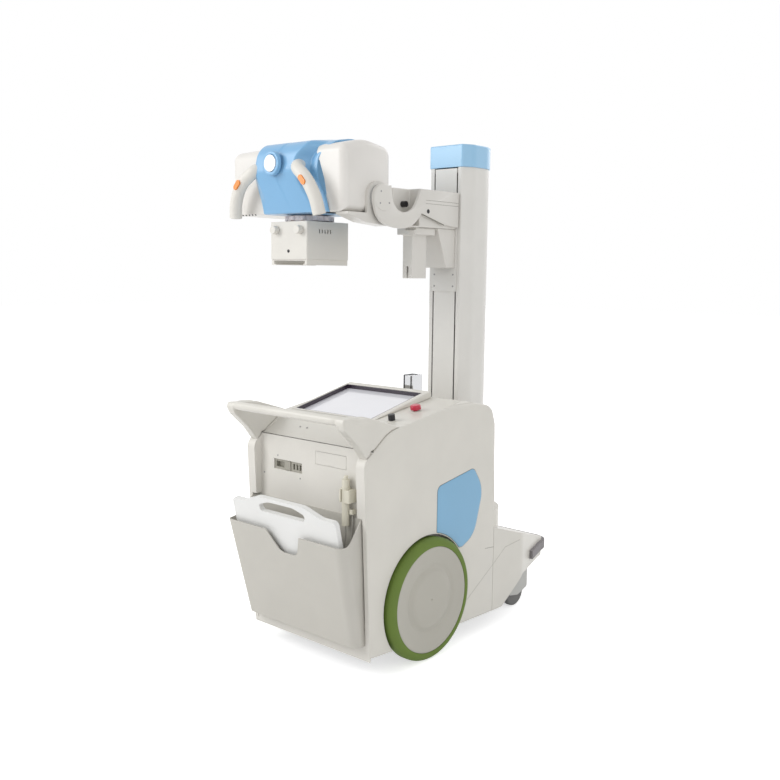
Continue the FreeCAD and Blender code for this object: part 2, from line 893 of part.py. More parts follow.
def front_base_cover():
    shell = base_form(0).cut(base_form(base_wall))
    hole = Part.makeCylinder(spindle_radius + 10, 60, V(0, column_y, collar_top_z - 30))
    beam_way = box(-base_half_width + 8, base_half_width - 8, body_front_y - 5, body_front_y + 20,
                   base_low_z - 5, side_plate_top_z)
    shell = shell.cut(hole)
    skirt = [
        (body_front_y + seam_gap, skirt_low_z, 0),
        (skirt_flat_y, skirt_low_z, 20),
        (skirt_tip_y, base_low_z + 6, 0),
        (skirt_tip_y, base_low_z + 30, 0),
        (body_front_y + seam_gap, base_low_z + 30, 0),
    ]
    zone = prism_z(base_plan(), 0, base_low_z + 30).cut(prism_z(base_plan(), 0, base_low_z + 30, base_wall))
    right = prism_x(skirt, base_half_width - 60, base_half_width).common(zone)
    return join([shell, right, mirrored(right)]).cut(beam_way)


def front_bumper():
    """Soft strip round the nose of the base."""
    zone = box(-cut_reach, cut_reach, bumper_rear_y, cut_reach, bumper_z0, bumper_z1)
    outer = prism_z(base_plan(), bumper_z0, bumper_z1, -bumper_depth).common(zone)
    return outer.cut(prism_z(base_plan(), bumper_z0 - 1, bumper_z1 + 1))


# Column

def column_plan(grow=0.0):
    half = column_width / 2 + grow
    y0 = column_y - column_depth / 2 - grow
    y1 = column_y + column_depth / 2 + grow
    face = column_face_half + grow
    flare_y = y0 + column_flare
    return [
        (-face, y0, column_front_radius),
        (face, y0, column_front_radius),
        (half, flare_y, column_flare_radius),
        (half, y1, column_back_radius),
        (-half, y1, column_back_radius),
        (-half, flare_y, column_flare_radius),
    ]


def column_face_y():
    return column_y - column_depth / 2


def column_room(low, top, gap):
    """Space inside the post, drawn in from its walls by a gap."""
    return prism_z(column_plan(), low, top, column_wall + gap)


def column_extrusion():
    """Hollow post with a slot towards the arm."""
    top = column_top_z - cap_height
    outer = prism_z(column_plan(), column_low_z, top)
    inner = column_room(column_low_z - 1, top + 1, 0)
    slot = box(-slot_half_width, slot_half_width, column_face_y() - 5, column_face_y() + column_wall + 5,
               column_low_z + slot_foot, top + 1)
    return outer.cut(inner).cut(slot)


def column_cap():
    low = column_top_z - cap_height + seam_gap
    outer = prism_z(column_plan(cap_overhang), low, column_top_z)
    outer = outer.makeFillet(6, [e for e in outer.Edges if e.BoundBox.ZMin > column_top_z - 0.01])
    room = prism_z(column_plan(), low - 1, column_top_z - 5, column_wall + 6)
    return outer.cut(room)


def column_spindle():
    """Turntable flange with the spindle that stands in the base."""
    flange = Part.makeCylinder(spindle_flange_radius, spindle_flange_thick,
                               V(0, column_y, column_low_z - spindle_flange_thick))
    low = beam_z0 + 14
    spindle = Part.makeCylinder(spindle_radius, column_low_z - low, V(0, column_y, low))
    return join([flange, spindle])


def rail_y():
    return column_face_y() + rail_set_back


def guide_rails():
    """Two guide rods held by end blocks at the column's foot and head."""
    solids = []
    top = column_top_z - cap_height - 6
    low = column_low_z + seat_gap
    inner = column_width / 2 - column_wall
    for side in (-1, 1):
        x = side * rail_x
        guide = Part.makeCylinder(rail_radius, top - low, V(x, rail_y(), low))
        blocks = []
        for z0 in (low, top - 20):
            x0 = x - 11 if side > 0 else -inner
            x1 = inner if side > 0 else x + 11
            block = box(x0, x1, rail_y() - 10, rail_y() + 10, z0, z0 + 20)
            blocks.append(block.common(column_room(z0, z0 + 20, 0)))
        solids.append(join([guide] + blocks))
    return group(solids)


def belt_cover():
    """Cover strip that fills the slot but for two narrow gaps, fixed at foot and head."""
    low = column_low_z + slot_foot + seat_gap
    top = column_top_z - cap_height - 4
    y0 = column_face_y()
    y1 = y0 + strip_thick
    seat_y = y0 + column_wall
    strip = box(-strip_half_width, strip_half_width, y0, y1, low, top)
    parts = [strip]
    inner = column_width / 2 - column_wall
    for z0 in (low, top - strip_foot_height):
        z1 = z0 + strip_foot_height
        parts.append(box(-strip_half_width, strip_half_width, y1, seat_y, z0, z1))
        foot = box(-inner, inner, seat_y, seat_y + strip_foot_thick, z0, z1)
        parts.append(foot.common(column_room(z0, z1, 0)))
    return join(parts)


def pulley(z):
    """Toothless belt pulley with its pin held between the column's side walls."""
    wheel = rod(pulley_radius, (-pulley_width / 2, column_y, z), (pulley_width / 2, column_y, z))
    return wheel.cut(rod(pulley_pin_radius + running_clearance, (-60, column_y, z), (60, column_y, z)))


def pulley_pins():
    inner = column_width / 2 - column_wall
    pins = [rod(pulley_pin_radius, (-inner, column_y, z), (inner, column_y, z))
            for z in (upper_pulley_z, lower_pulley_z)]
    return group(pins)


def lift_belt():
    """Closed belt round both pulleys."""
    r0 = pulley_radius + belt_clearance
    r1 = r0 + belt_thick
    loops = []
    for radius in (r1, r0):
        corners = [
            (column_y - radius, lower_pulley_z - radius, radius - 0.001),
            (column_y + radius, lower_pulley_z - radius, radius - 0.001),
            (column_y + radius, upper_pulley_z + radius, radius - 0.001),
            (column_y - radius, upper_pulley_z + radius, radius - 0.001),
        ]
        loops.append(prism_x(corners, -belt_width / 2, belt_width / 2))
    return loops[0].cut(loops[1])


def counterweight():
    """Weight on the belt's far run, guided by the column's back wall."""
    y0 = column_y + pulley_radius + belt_clearance + belt_thick + belt_clearance
    half = weight_half_width
    top = weight_z0 + weight_height
    room = prism_z(column_plan(), weight_z0, top, column_wall + weight_clearance)
    return room.common(box(-half, half, y0, column_y + column_depth, weight_z0, top))


# Carriage and arm

def carriage_front_y():
    return column_face_y() - carriage_plate_gap - carriage_plate_thick


def carriage():
    """Plate before the post, webs through the two gaps and guide shoes on the rods."""
    half = carriage_plate_half
    front_y = carriage_front_y()
    plate_back = front_y + carriage_plate_thick
    plate = box(-half, half, front_y, plate_back, carriage_z0, carriage_z1)
    back_y = column_face_y() + column_wall + 7
    web_x1 = slot_half_width - web_clearance
    parts = [plate]
    for side in (-1, 1):
        x0 = -web_x1 if side < 0 else web_x1 - web_thick
        parts.append(box(x0, x0 + web_thick, plate_back, back_y + 6, carriage_z0 + 60, carriage_z1))
        for z0 in (carriage_z0 + 70, carriage_z1 - 70):
            sx0 = side * rail_x - 13
            block = box(sx0, sx0 + 26, rail_y() - 13, rail_y() + 13, z0, z0 + 60)
            hole = Part.makeCylinder(rail_radius + running_clearance, 80, V(side * rail_x, rail_y(), z0 - 10))
            parts.append(block.cut(hole))
    cross = rail_x - 10
    parts.append(box(-cross, cross, back_y, rail_y() + 10, carriage_z0 + 70, carriage_z1 - 10))
    clamp_y = column_y - pulley_radius - belt_clearance * 2 - belt_thick
    clamp_half = belt_width / 2
    parts.append(box(-clamp_half, clamp_half, rail_y() + 10, clamp_y, carriage_z0 + 160, carriage_z1 - 120))
    return join(parts)


def swan_profile():
    """Side view of the arm's near plate, from the tilt disc round the notch to the root."""
    end_y = column_face_y() - arm_block_gap
    return [
        (tilt_y - tilt_disc_radius, tilt_z - tilt_disc_radius, tilt_disc_radius - 0.5),
        (tilt_y + 22, tilt_z - tilt_disc_radius, 20),
        (44, swan_low_z, 56),
        (180, swan_low_z, 60),
        (swan_inner_front_y + 10, arm_low_z + 27, 10),
        (end_y, arm_low_z, 6),
        (end_y, arm_top_z, 6),
        (swan_inner_front_y, arm_top_z, 4),
        (158, swan_inner_low_z, 40),
        (70, swan_inner_low_z, 40),
        (swan_inner_rear_y, arm_top_z + 1, 10),
        (tilt_y - tilt_disc_radius, arm_top_z + 1, tilt_disc_radius - 0.5),
    ]


def arm_side_plate():
    """Swan-necked near plate with the blind seat of the tilt shaft."""
    x0 = arm_half_width - side_plate_arm_thick
    plate = prism_x(swan_profile(), x0, arm_half_width)
    seat = rod(tilt_shaft_radius + 0.5, (x0 - 1, tilt_y, tilt_z), (x0 + 7, tilt_y, tilt_z))
    groove = box(arm_half_width - 1.5, arm_half_width + 1, groove_rear_y, column_face_y() - arm_block_gap + 1,
                 groove_z - groove_width / 2, groove_z + groove_width / 2)
    hole = rod(plug_radius, (arm_half_width - 9, plug_y, plug_z), (arm_half_width + 1, plug_y, plug_z))
    return plate.cut(seat).cut(groove).cut(hole)


def arm_casting():
    """Root block, inner plate and the tray between the plates."""
    x1 = arm_half_width - side_plate_arm_thick
    end_y = column_face_y() - arm_block_gap
    block = box(-arm_half_width, x1, arm_block_rear_y, end_y, arm_low_z, arm_top_z)
    room = box(-arm_half_width + 8, x1 - 8, arm_block_rear_y + 10, end_y - 16, arm_low_z + 8, arm_top_z - 6)
    inner = [
        (inner_plate_rear_y, swan_low_z + 6, 10),
        (arm_block_rear_y, swan_low_z + 8, 0),
        (arm_block_rear_y, arm_top_z, 0),
        (inner_plate_rear_y, arm_top_z, 10),
    ]
    plate = prism_x(inner, inner_plate_x - inner_plate_thick, inner_plate_x)
    tray = box(inner_plate_x - inner_plate_thick, x1, inner_plate_rear_y + 6, arm_block_rear_y,
               swan_low_z + 8, swan_low_z + 14)
    neck_half = gusset_half_width
    neck = box(-neck_half, neck_half, end_y, carriage_front_y(), arm_low_z + 4, arm_top_z - 14)
    casting = join([block.cut(room), plate, tray, neck])
    bore = rod(knob_spindle_radius + running_clearance, (-30, knob_y, knob_z), (30, knob_y, knob_z))
    return casting.cut(bore)


def arm_knob():
    """Brake knob on its spindle through the inner plate."""
    hub = (knob_y, knob_z)
    back_x = inner_plate_x - inner_plate_thick
    spindle = rod(knob_spindle_radius, (back_x - 6, *hub), (inner_plate_x + 6, *hub))
    head = rod(knob_radius, (inner_plate_x + 0.5, *hub), (inner_plate_x + knob_height, *hub))
    tail = rod(knob_radius - 2, (back_x - 8, *hub), (back_x - 0.5, *hub))
    return join([spindle, head, tail])


def tilt_ring():
    """Bright bearing ring between the arm's disc and the head's ear."""
    x0 = head_right_x + ear_thick + cover_gap
    x1 = arm_half_width - side_plate_arm_thick
    ring = rod(ring_radius, (x0 + 0.6, tilt_y, tilt_z), (x1, tilt_y, tilt_z))
    bore = rod(tilt_shaft_radius + running_clearance, (x0 - 1, tilt_y, tilt_z), (x1 + 1, tilt_y, tilt_z))
    return ring.cut(bore)


def gusset():
    """Bracket from the carriage up to the arm, with its sloping web."""
    face_y = carriage_front_y()
    side = [
        (gusset_rear_y + 60, arm_low_z, 0),
        (gusset_step_y, gusset_low_z, 0),
        (face_y, gusset_low_z, 0),
        (face_y, arm_low_z, 0),
    ]
    parts = []
    for sign in (-1, 1):
        x0 = sign * gusset_half_width if sign < 0 else gusset_half_width - 6
        parts.append(prism_x(side, x0, x0 + 6))
    web = [
        (gusset_rear_y + 50, arm_low_z, 0),
        (gusset_step_y - 8, gusset_low_z, 0),
        (gusset_step_y, gusset_low_z, 0),
        (gusset_rear_y + 60, arm_low_z, 0),
    ]
    parts.append(prism_x(web, -gusset_half_width, gusset_half_width))
    parts.append(box(-gusset_half_width, gusset_half_width, face_y - 6, face_y, gusset_low_z, arm_low_z))
    return join(parts)


def parking_post():
    """Hollow post under the arm that meets the receiver on the deck."""
    mount = box(-mount_half_width, mount_half_width, mount_y0, mount_y1, mount_low_z, arm_low_z)
    shank = box(-post_half_width, post_half_width, post_y0, post_y1, post_low_z, mount_low_z)
    inner = post_half_width - post_wall
    room = box(-inner, inner, post_y0 + post_wall, post_y1 - post_wall, post_low_z - 1, mount_low_z - 10)
    slot = box(-post_slot_width / 2, post_slot_width / 2, post_y0 - 1, post_y0 + post_wall + 1,
               post_low_z - 1, post_low_z + post_slot_height)
    post = join([mount, shank]).cut(room).cut(slot)
    tail_room = box(inner_plate_x - inner_plate_thick - seat_gap, arm_half_width, mount_y0 - 1,
                    arm_block_rear_y + seat_gap, swan_low_z, arm_low_z + 1)
    return post.cut(tail_room)


# Tilting head

def end_profile():
    return [
        (head_front_y, head_low_z, 5),
        (head_front_y - 4, head_top_z - 22, 34),
        (-40, head_top_z + 6, 200),
        (head_rear_y - 2, head_top_z - 14, 34),
        (head_rear_y, head_low_z, 5),
    ]


def end_plan(x0, x1):
    """Outline from above, rounded at the free end."""
    y0 = head_front_y - 8
    y1 = head_rear_y + 4
    return [(x0, y0, 0), (x1, y0, 26), (x1, y1, 26), (x0, y1, 0)]


def end_form(x0, x1, inset):
    body = prism_x(end_profile(), min(x0, x1), max(x0, x1), inset)
    plan = prism_z(end_plan(x0, x1), head_low_z - 5, head_top_z + 10, inset)
    return body.common(plan)


def end_covers():
    """White shells at both ends of the head, open to the middle cover."""
    right = end_form(centre_x1 + cover_gap, head_right_x, 0)
    right = right.cut(end_form(centre_x1 - 20, head_right_x, head_wall))
    left = end_form(centre_x0 - cover_gap, head_left_x, 0)
    left = left.cut(end_form(centre_x0 + 20, head_left_x, head_wall))
    return group([right, left])


def centre_profile(front_low_y, front_y):
    return [
        (front_low_y, head_low_z, 5),
        (front_y, 1700, 60),
        (front_y + 14, head_top_z - 2, 62),
        (-40, head_top_z + 12, 200),
        (head_rear_y + 4, head_top_z - 8, 40),
        (head_rear_y + 4, head_low_z, 5),
    ]


def centre_form(inset):
    reach = -inset
    wide = prism_x(centre_profile(-148, -166), centre_x0 - reach, centre_x1 + reach, inset)
    half = bulge_half_width - inset
    flank = 34
    bulge_plan = [
        (head_x - half - flank, 0, 0),
        (head_x - half - flank, -166, 20),
        (head_x - half, bulge_y, 24),
        (head_x + half, bulge_y, 24),
        (head_x + half + flank, -166, 20),
        (head_x + half + flank, 0, 0),
    ]
    bulge = prism_x(centre_profile(-154, bulge_y), centre_x0, centre_x1, inset)
    bulge = bulge.common(prism_z(bulge_plan, head_low_z - 5, head_top_z + 20, inset))
    return wide.fuse(bulge)


def centre_cover():
    """Blue middle shell with the boss of the lamp and the handle sockets."""
    shell = centre_form(0).cut(centre_form(head_wall))
    boss_y = bulge_y - light_boss
    boss = rod(light_radius + light_rim, (head_x, boss_y, light_z), (head_x, bulge_y + 14, light_z))
    seat = rod(light_radius + cover_gap, (head_x, boss_y - 1, light_z), (head_x, bulge_y - 2, light_z))
    shell = join([shell, boss]).cut(seat)
    bottom_hole = Part.makeCylinder(port_radius + 8, 60, V(head_x, beam_y, head_low_z - 30))
    tube_way = rod(tube_radius + head_wall, (head_left_x, beam_y, tube_z), (head_right_x, beam_y, tube_z))
    shell = shell.cut(bottom_hole).cut(tube_way)
    for side in (-1, 1):
        socket = grip_tube(side, grip_radius + cover_gap)
        shell = shell.cut(socket)
    return shell


def head_light():
    return rod(light_radius, (head_x, bulge_y - light_boss - 3, light_z), (head_x, bulge_y - 2, light_z))


def grip_points(side):
    return [
        (head_x + side * grip_root_spread, -146, grip_root_z),
        (head_x + side * (grip_root_spread + 6), grip_y - 2, grip_root_z - 6),
        (head_x + side * grip_knee_spread, grip_y - 14, grip_knee_z),
        (head_x + side * (grip_end_spread - 10), grip_y - 8, grip_end_z + 55),
        (head_x + side * grip_end_spread, grip_y, grip_end_z),
    ]


def grip_tube(side, radius):
    return tube_along(grip_points(side), radius)


def button_place(side):
    """Middle of the button on a handle's upper bend."""
    return (head_x + side * button_spread, grip_y - 13, button_z)


def button_block(side, grow, y0, y1):
    """Oval pad whose long axis follows the bend of the handle."""
    x, y, z = button_place(side)
    half = button_half_length + grow
    r = button_radius + grow
    corners = [(-half, -r, r - 0.01), (half, -r, r - 0.01), (half, r, r - 0.01), (-half, r, r - 0.01)]
    pad = prism_y(corners, y + y0, y + y1)
    pad.translate(V(x, 0, z))
    return turned(pad, (x, 0, z), (0, 1, 0), side * button_turn)


def head_grips():
    """Two bent handles on the front of the head, with pockets for the buttons."""
    solids = []
    for side in (-1, 1):
        tube = grip_tube(side, grip_radius)
        pocket = button_block(side, button_gap, -40, -grip_radius + button_seat)
        solids.append(tube.cut(pocket))
    return group(solids)


def grip_button(side):
    back = -grip_radius + button_seat - button_travel - button_gap
    return button_block(side, 0, -grip_radius - button_stand, back)


def tube_housing():
    """Shielded housing of the x-ray tube with its round port."""
    body = rod(tube_radius, (head_left_x + 60, beam_y, tube_z), (head_right_x - 42, beam_y, tube_z))
    low = swivel_top_z + cover_gap
    port = Part.makeCylinder(port_radius, tube_z - low, V(head_x, beam_y, low))
    feet = []
    for x in (head_left_x + 90, head_right_x - 80):
        foot_top = tube_z - tube_radius + 12
        feet.append(box(x - 20, x + 20, beam_y - 40, beam_y + 40, head_low_z + head_wall, foot_top))
    return join([body, port] + feet)


def swivel_ring():
    """Scalloped rotation ring below the head, with a running bore for the collimator's neck."""
    ring = Part.makeCylinder(swivel_radius - 8, swivel_top_z - swivel_low_z, V(head_x, beam_y, swivel_low_z))
    lobes = []
    for i in range(swivel_lobes):
        turn = 2 * math.pi * i / swivel_lobes
        ring_x = head_x + (swivel_radius - 12) * math.cos(turn)
        ring_y = beam_y + (swivel_radius - 12) * math.sin(turn)
        place = V(ring_x, ring_y, swivel_low_z + 2)
        lobes.append(Part.makeCylinder(12, swivel_top_z - swivel_low_z - 4, place))
    flange_height = head_low_z + head_wall - swivel_top_z
    flange = Part.makeCylinder(port_radius + 7, flange_height, V(head_x, beam_y, swivel_top_z))
    ring = join([ring, flange] + lobes)
    port_room = Part.makeCylinder(port_radius + cover_gap, 60, V(head_x, beam_y, swivel_top_z + 0.01))
    bore = Part.makeCylinder(port_radius - 5 + running_clearance, 200, V(head_x, beam_y, swivel_low_z - 100))
    return ring.cut(port_room).cut(bore)


def cable_outlet():
    """Rounded cable elbow behind the left of the head, where the leads enter."""
    corners = [
        (head_rear_y + 4, head_low_z + 44, 0),
        (head_rear_y + 4 + outlet_depth, head_low_z + 44, 24),
        (head_rear_y + 4 + outlet_depth, outlet_low_z, 14),
        (head_rear_y + 12, outlet_low_z, 10),
        (head_rear_y + 4, head_low_z - 6, 4),
    ]
    return prism_x(corners, outlet_x0, outlet_x0 + outlet_width)


def head_bracket():
    """Ear on the end of the head, its tilt shaft and the pod under the end cover."""
    x0 = head_right_x
    x1 = head_right_x + ear_thick
    ear = [
        (tilt_y - ear_radius, pod_low_z + 12, 6),
        (tilt_y - ear_radius, tilt_z + ear_radius, ear_radius - 0.5),
        (tilt_y + ear_radius, tilt_z + ear_radius, ear_radius - 0.5),
        (tilt_y + ear_radius, pod_low_z + 2, 6),
    ]
    pod = [
        (-149, head_low_z, 0),
        (-149, head_low_z - 8, 4),
        (-60, pod_low_z + 10, 12),
        (tilt_y + ear_radius, pod_low_z, 8),
        (tilt_y + ear_radius, head_low_z, 0),
    ]
    shaft_x1 = arm_half_width - side_plate_arm_thick + 6
    shaft = rod(tilt_shaft_radius, (x0, tilt_y, tilt_z), (shaft_x1, tilt_y, tilt_z))
    return join([prism_x(ear, x0, x1), prism_x(pod, pod_x0, x1), shaft])


# Collimator

def collimator_box():
    """Box below the swivel ring, with neck, vents and knob spindles' seats."""
    x0 = head_x - collimator_width / 2
    x1 = head_x + collimator_width / 2
    y0 = beam_y - collimator_length / 2
    y1 = beam_y + collimator_length / 2
    outer = box(x0, x1, y0, y1, collimator_box_z, collimator_top_z)
    outer = outer.makeFillet(5, [e for e in outer.Edges if e.BoundBox.ZLength > 10])
    w = collimator_wall
    room = box(x0 + w, x1 - w, y0 + w, y1 - w, collimator_box_z - 1, collimator_top_z - w)
    neck_height = swivel_top_z - collimator_top_z
    neck = Part.makeCylinder(port_radius - 5, neck_height, V(head_x, beam_y, collimator_top_z))
    body = join([outer.cut(room), neck])
    body = body.cut(Part.makeCylinder(port_radius - 12, 200, V(head_x, beam_y, collimator_top_z - 50)))
    for i in range(vent_count):
        y = y0 + 60 + vent_pitch * i
        body = body.cut(box(x1 - w - 1, x1 + 1, y, y + vent_width, vent_z, vent_z + vent_height))
    for side in (-1, 1):
        x = head_x + side * collimator_knob_x
        body = body.cut(rod(dial_spindle_radius + running_clearance, (x, y0 - 1, collimator_knob_z),
                            (x, y0 + w + 1, collimator_knob_z)))
    return body


def collimator_rails():
    """Bottom plate with its window and the two accessory rails."""
    x0 = head_x - collimator_width / 2 + 3
    x1 = head_x + collimator_width / 2 - 3
    y0 = beam_y - collimator_length / 2 + 3
    y1 = beam_y + collimator_length / 2 - 3
    plate_low = collimator_box_z - plate_thick
    plate = box(x0, x1, y0, y1, plate_low, collimator_box_z)
    window = box(head_x - window_half, head_x + window_half, beam_y - window_half, beam_y + window_half,
                 plate_low - 1, collimator_box_z + 1)
    parts = [plate.cut(window)]
    for side in (-1, 1):
        rail_x0 = x0 if side < 0 else x1 - rail_width
        parts.append(box(rail_x0, rail_x0 + rail_width, y0, y1, collimator_low_z, plate_low))
        lip_x0 = x0 if side < 0 else x1 - lip_width
        parts.append(box(lip_x0, lip_x0 + lip_width, y0, y1, collimator_low_z, collimator_low_z + lip_thick))
    return join(parts)


def collimator_window():
    half = window_half - seat_gap
    return box(head_x - half, head_x + half, beam_y - half, beam_y + half,
               collimator_box_z - plate_thick + 0.5, collimator_box_z - 0.5)


def collimator_knob(side):
    x = head_x + side * collimator_knob_x
    y0 = beam_y - collimator_length / 2
    z = collimator_knob_z
    head = rod(collimator_knob_radius, (x, y0 - collimator_knob_length, z), (x, y0 - 1, z))
    head = head.makeFillet(2, [e for e in head.Edges if e.BoundBox.YMax < y0 - 10])
    spindle = rod(dial_spindle_radius, (x, y0 - 1, z), (x, y0 + collimator_wall + 6, z))
    stop = rod(2 * dial_spindle_radius, (x, y0 + collimator_wall + 0.5, z), (x, y0 + collimator_wall + 5, z))
    return join([head, spindle, stop])


# Console

def console_place(shape):
    """Tilt a piece drawn flat at the monitor's rear edge up to the monitor's slope."""
    return turned(shape, (0, monitor_y0, bezel_top_z0), (1, 0, 0), monitor_rise)


def monitor_length():
    return (monitor_y1 - monitor_y0) / math.cos(math.radians(monitor_rise))


def monitor_tub(margin, low, high):
    """Box about the screen's outline, tilted to the monitor's slope."""
    return console_place(box(monitor_x0 - margin, monitor_x1 + margin, monitor_y0 - margin,
                             monitor_y0 + monitor_length() + margin, bezel_top_z0 + low, bezel_top_z0 + high))


def monitor_frame():
    """Raised white surround with the tub that drops through the deck."""
    x0 = monitor_x0 - monitor_margin
    x1 = monitor_x1 + monitor_border
    y0 = monitor_y0 - monitor_border
    length = monitor_length() + 2 * monitor_border
    block = console_place(box(x0, x1, y0, y0 + length, bezel_top_z0 - tub_depth, bezel_top_z0 + 3))
    outside = deck_fill().cut(monitor_tub(tub_wall - seam_gap, -tub_depth - 40, 60))
    pocket = monitor_tub(0, -bezel_depth, 10)
    return block.cut(pocket).cut(outside)


def deck_fill():
    """Everything below the deck surface, for pieces that stand on it."""
    solid = prism_x(side_profile(), -body_half_width, body_half_width)
    return solid.cut(rear_recess(0))


def monitor_bezel():
    length = monitor_length() - 2 * cover_gap
    x0 = monitor_x0 + cover_gap
    x1 = monitor_x1 - cover_gap
    y0 = monitor_y0 + cover_gap
    b = bezel_width
    ring = box(x0, x1, y0, y0 + length, bezel_top_z0 - bezel_depth, bezel_top_z0 + 1)
    hole = box(x0 + b, x1 - b, y0 + b, y0 + length - b,
               bezel_top_z0 - screen_recess - screen_thick, bezel_top_z0 + 2)
    return console_place(ring.cut(hole))


def monitor_screen():
    length = monitor_length() - 2 * cover_gap
    b = bezel_width + cover_gap + 0.2
    pane = box(monitor_x0 + b, monitor_x1 - b, monitor_y0 + b, monitor_y0 + length - b + cover_gap,
               bezel_top_z0 - screen_recess - screen_thick, bezel_top_z0 - screen_recess)
    return console_place(pane)


def stop_button():
    """Mushroom push button on its stem."""
    low = stop_head_low
    stem = control_rod(stop_y, stop_stem_radius, -control_stem_depth, low)
    head = control_rod(stop_y, stop_radius, low, low + stop_height)
    top = [e for e in head.Edges if e.BoundBox.ZMax > deck_height(stop_y) + low + stop_height - 4]
    head = head.makeFillet(6, top[:1])
    return join([stem, head])


def key_switch():
    stem = control_rod(key_y, key_stem_radius, -control_stem_depth, key_head_low)
    head = control_rod(key_y, key_radius, key_head_low, key_head_low + key_height)
    return join([stem, head])


def parking_receiver():
    """Bright U of metal with an inner block that the parking post meets."""
    y0 = receiver_y - receiver_half_length
    y1 = receiver_y + receiver_half_length
    half = receiver_half_width
    outer = box(-half, half, y0, y1, deck_crest_z - 60, receiver_top_z)
    outer = outer.makeFillet(6, [e for e in outer.Edges if e.BoundBox.ZLength > 30])
    room = box(-half + 5, half - 5, y0 - 1, y1 - 5, deck_crest_z - 5, receiver_top_z + 1)
    block = box(-half + 11, half - 11, y0, y1 - 14, deck_crest_z - 8, receiver_top_z - 3)
    return join([outer.cut(room), block]).cut(deck_fill())


# Push handle

def push_handle():
    """Cross bar with a bend at each end and the two horns that carry it."""
    points = [
        (-handle_half_span + 16, handle_bar_y + handle_return, handle_bar_z - 6),
        (-handle_half_span + 6, handle_bar_y, handle_bar_z),
        (handle_half_span - 6, handle_bar_y, handle_bar_z),
        (handle_half_span - 16, handle_bar_y + handle_return, handle_bar_z - 6),
    ]
    bar = bent_bar(points)
    horn = [
        (horn_foot_y, horn_foot_z - 2, 3),
        (horn_foot_y - 36, horn_waist_z, 90),
        (handle_bar_y - 8, handle_bar_z - 24, 60),
        (handle_bar_y - 13, handle_bar_z - 5, 4),
        (handle_bar_y - 8, handle_bar_z + 11, 6),
        (horn_crest_y, handle_bar_z + 6, 80),
        (horn_tip_y, deck_height(horn_tip_y) + 12, 60),
        (horn_tip_y + 25, deck_height(horn_tip_y + 25) + 0.5, 0),
        (horn_tip_y - 15, horn_foot_z - 56, 0),
        (horn_foot_y + 14, horn_foot_z - 16, 0),
    ]
    right = prism_x(horn, horn_inner_x, horn_outer_x)
    fill = prism_x(side_profile(), -cut_reach, cut_reach)
    under = box(-cut_reach, cut_reach, rear_panel_y, 0, 0, rear_panel_top_z + 4)
    right = right.cut(fill).cut(under)
    return join([bar, right, mirrored(right)])


def bent_bar(points):
    """Round bar along three runs with bends of the handle's radius."""
    pts = [V(*p) for p in points]
    last = pts[0]
    edges = []
    for i in (1, 2):
        into = (pts[i - 1] - pts[i]).normalize()
        out = (pts[i + 1] - pts[i]).normalize()
        opening = into.getAngle(out)
        reach = handle_bend / math.tan(opening / 2)
        inward = (into + out).normalize()
        a = pts[i] + into * reach
        b = pts[i] + out * reach
        middle = pts[i] + inward * (handle_bend / math.sin(opening / 2) - handle_bend)
        edges.append(Part.LineSegment(last, a).toShape())
        edges.append(Part.Arc(a, middle, b).toShape())
        last = b
    edges.append(Part.LineSegment(last, pts[3]).toShape())
    section = Part.Wire(Part.Circle(pts[0], pts[1] - pts[0], handle_bar_radius).toShape())
    return Part.Wire(edges).makePipeShell([section], True, False)


# Storage bin, detector and hand switch

def bin_wire(z, inset):
    grow = (z - bin_low_z) / (bin_rim_z - bin_low_z)
    half = bin_low_half_width + (bin_top_half_width - bin_low_half_width) * grow - inset
    front = bin_low_y + (bin_rim_y - bin_low_y) * grow + inset
    back = rear_panel_y - seam_gap
    r = bin_corner - inset
    rear = bin_rear_half_width - inset
    left = half + bin_left_flare
    r_left = bin_left_corner - inset
    corners = [(-rear, back, 0), (-left, front, r_left), (half, front, r), (rear, back, 0)]
    return rounded_wire(corners, lambda p: V(p.x, p.y, z))


def storage_bin():
    """Leaning pocket on the rear panel, with a thumb notch in its front rim."""
    top_z = bin_side_rim_z + 30
    outer = Part.makeLoft([bin_wire(bin_low_z, 0), bin_wire(top_z, 0)], True, True)
    inner_wires = [bin_wire(bin_low_z + bin_wall, bin_wall), bin_wire(top_z + 40, bin_wall)]
    inner = Part.makeLoft(inner_wires, True, True)
    back = box(-cut_reach, cut_reach, rear_panel_y - bin_wall, rear_panel_y - seam_gap + 1,
               bin_low_z, bin_side_rim_z)
    inner = inner.cut(back)
    rim = [
        (bin_rim_y - 60, bin_rim_z - 4, 0),
        (bin_rim_y + 34, bin_rim_z + 2, 40),
        (rear_panel_y - 26, bin_side_rim_z, 14),
        (0, bin_side_rim_z, 0),
        (0, 900, 0),
        (bin_rim_y - 60, 900, 0),
    ]
    notch = [(-96, 600, 0), (-96, 482, 0), (-30, 404, 42), (52, 404, 30), (78, 482, 0), (78, 600, 0)]
    pocket = outer.cut(inner).cut(prism_x(rim, -cut_reach, cut_reach))
    return pocket.cut(prism_y(notch, -cut_reach, rear_panel_y - 40))


def lean_place(shape):
    """Move a piece drawn upright at Y zero onto the bin's leaning front wall."""
    leaned = turned(shape, (0, 0, 0), (1, 0, 0), math.degrees(bin_lean_angle))
    leaned.translate(V(detector_shift_x, detector_foot_y, bin_low_z + bin_wall + seam_gap))
    return leaned


def detector_outline():
    half = detector_half_width
    rise = detector_length + detector_grip_rise
    g = detector_grip_half_length
    return [
        (-half, 0, 12),
        (half, 0, 12),
        (half, detector_length, 16),
        (g + 40, detector_length, 60),
        (g - 40, rise, 90),
        (-g + 40, rise, 90),
        (-g - 40, detector_length, 60),
        (-half, detector_length, 16),
    ]


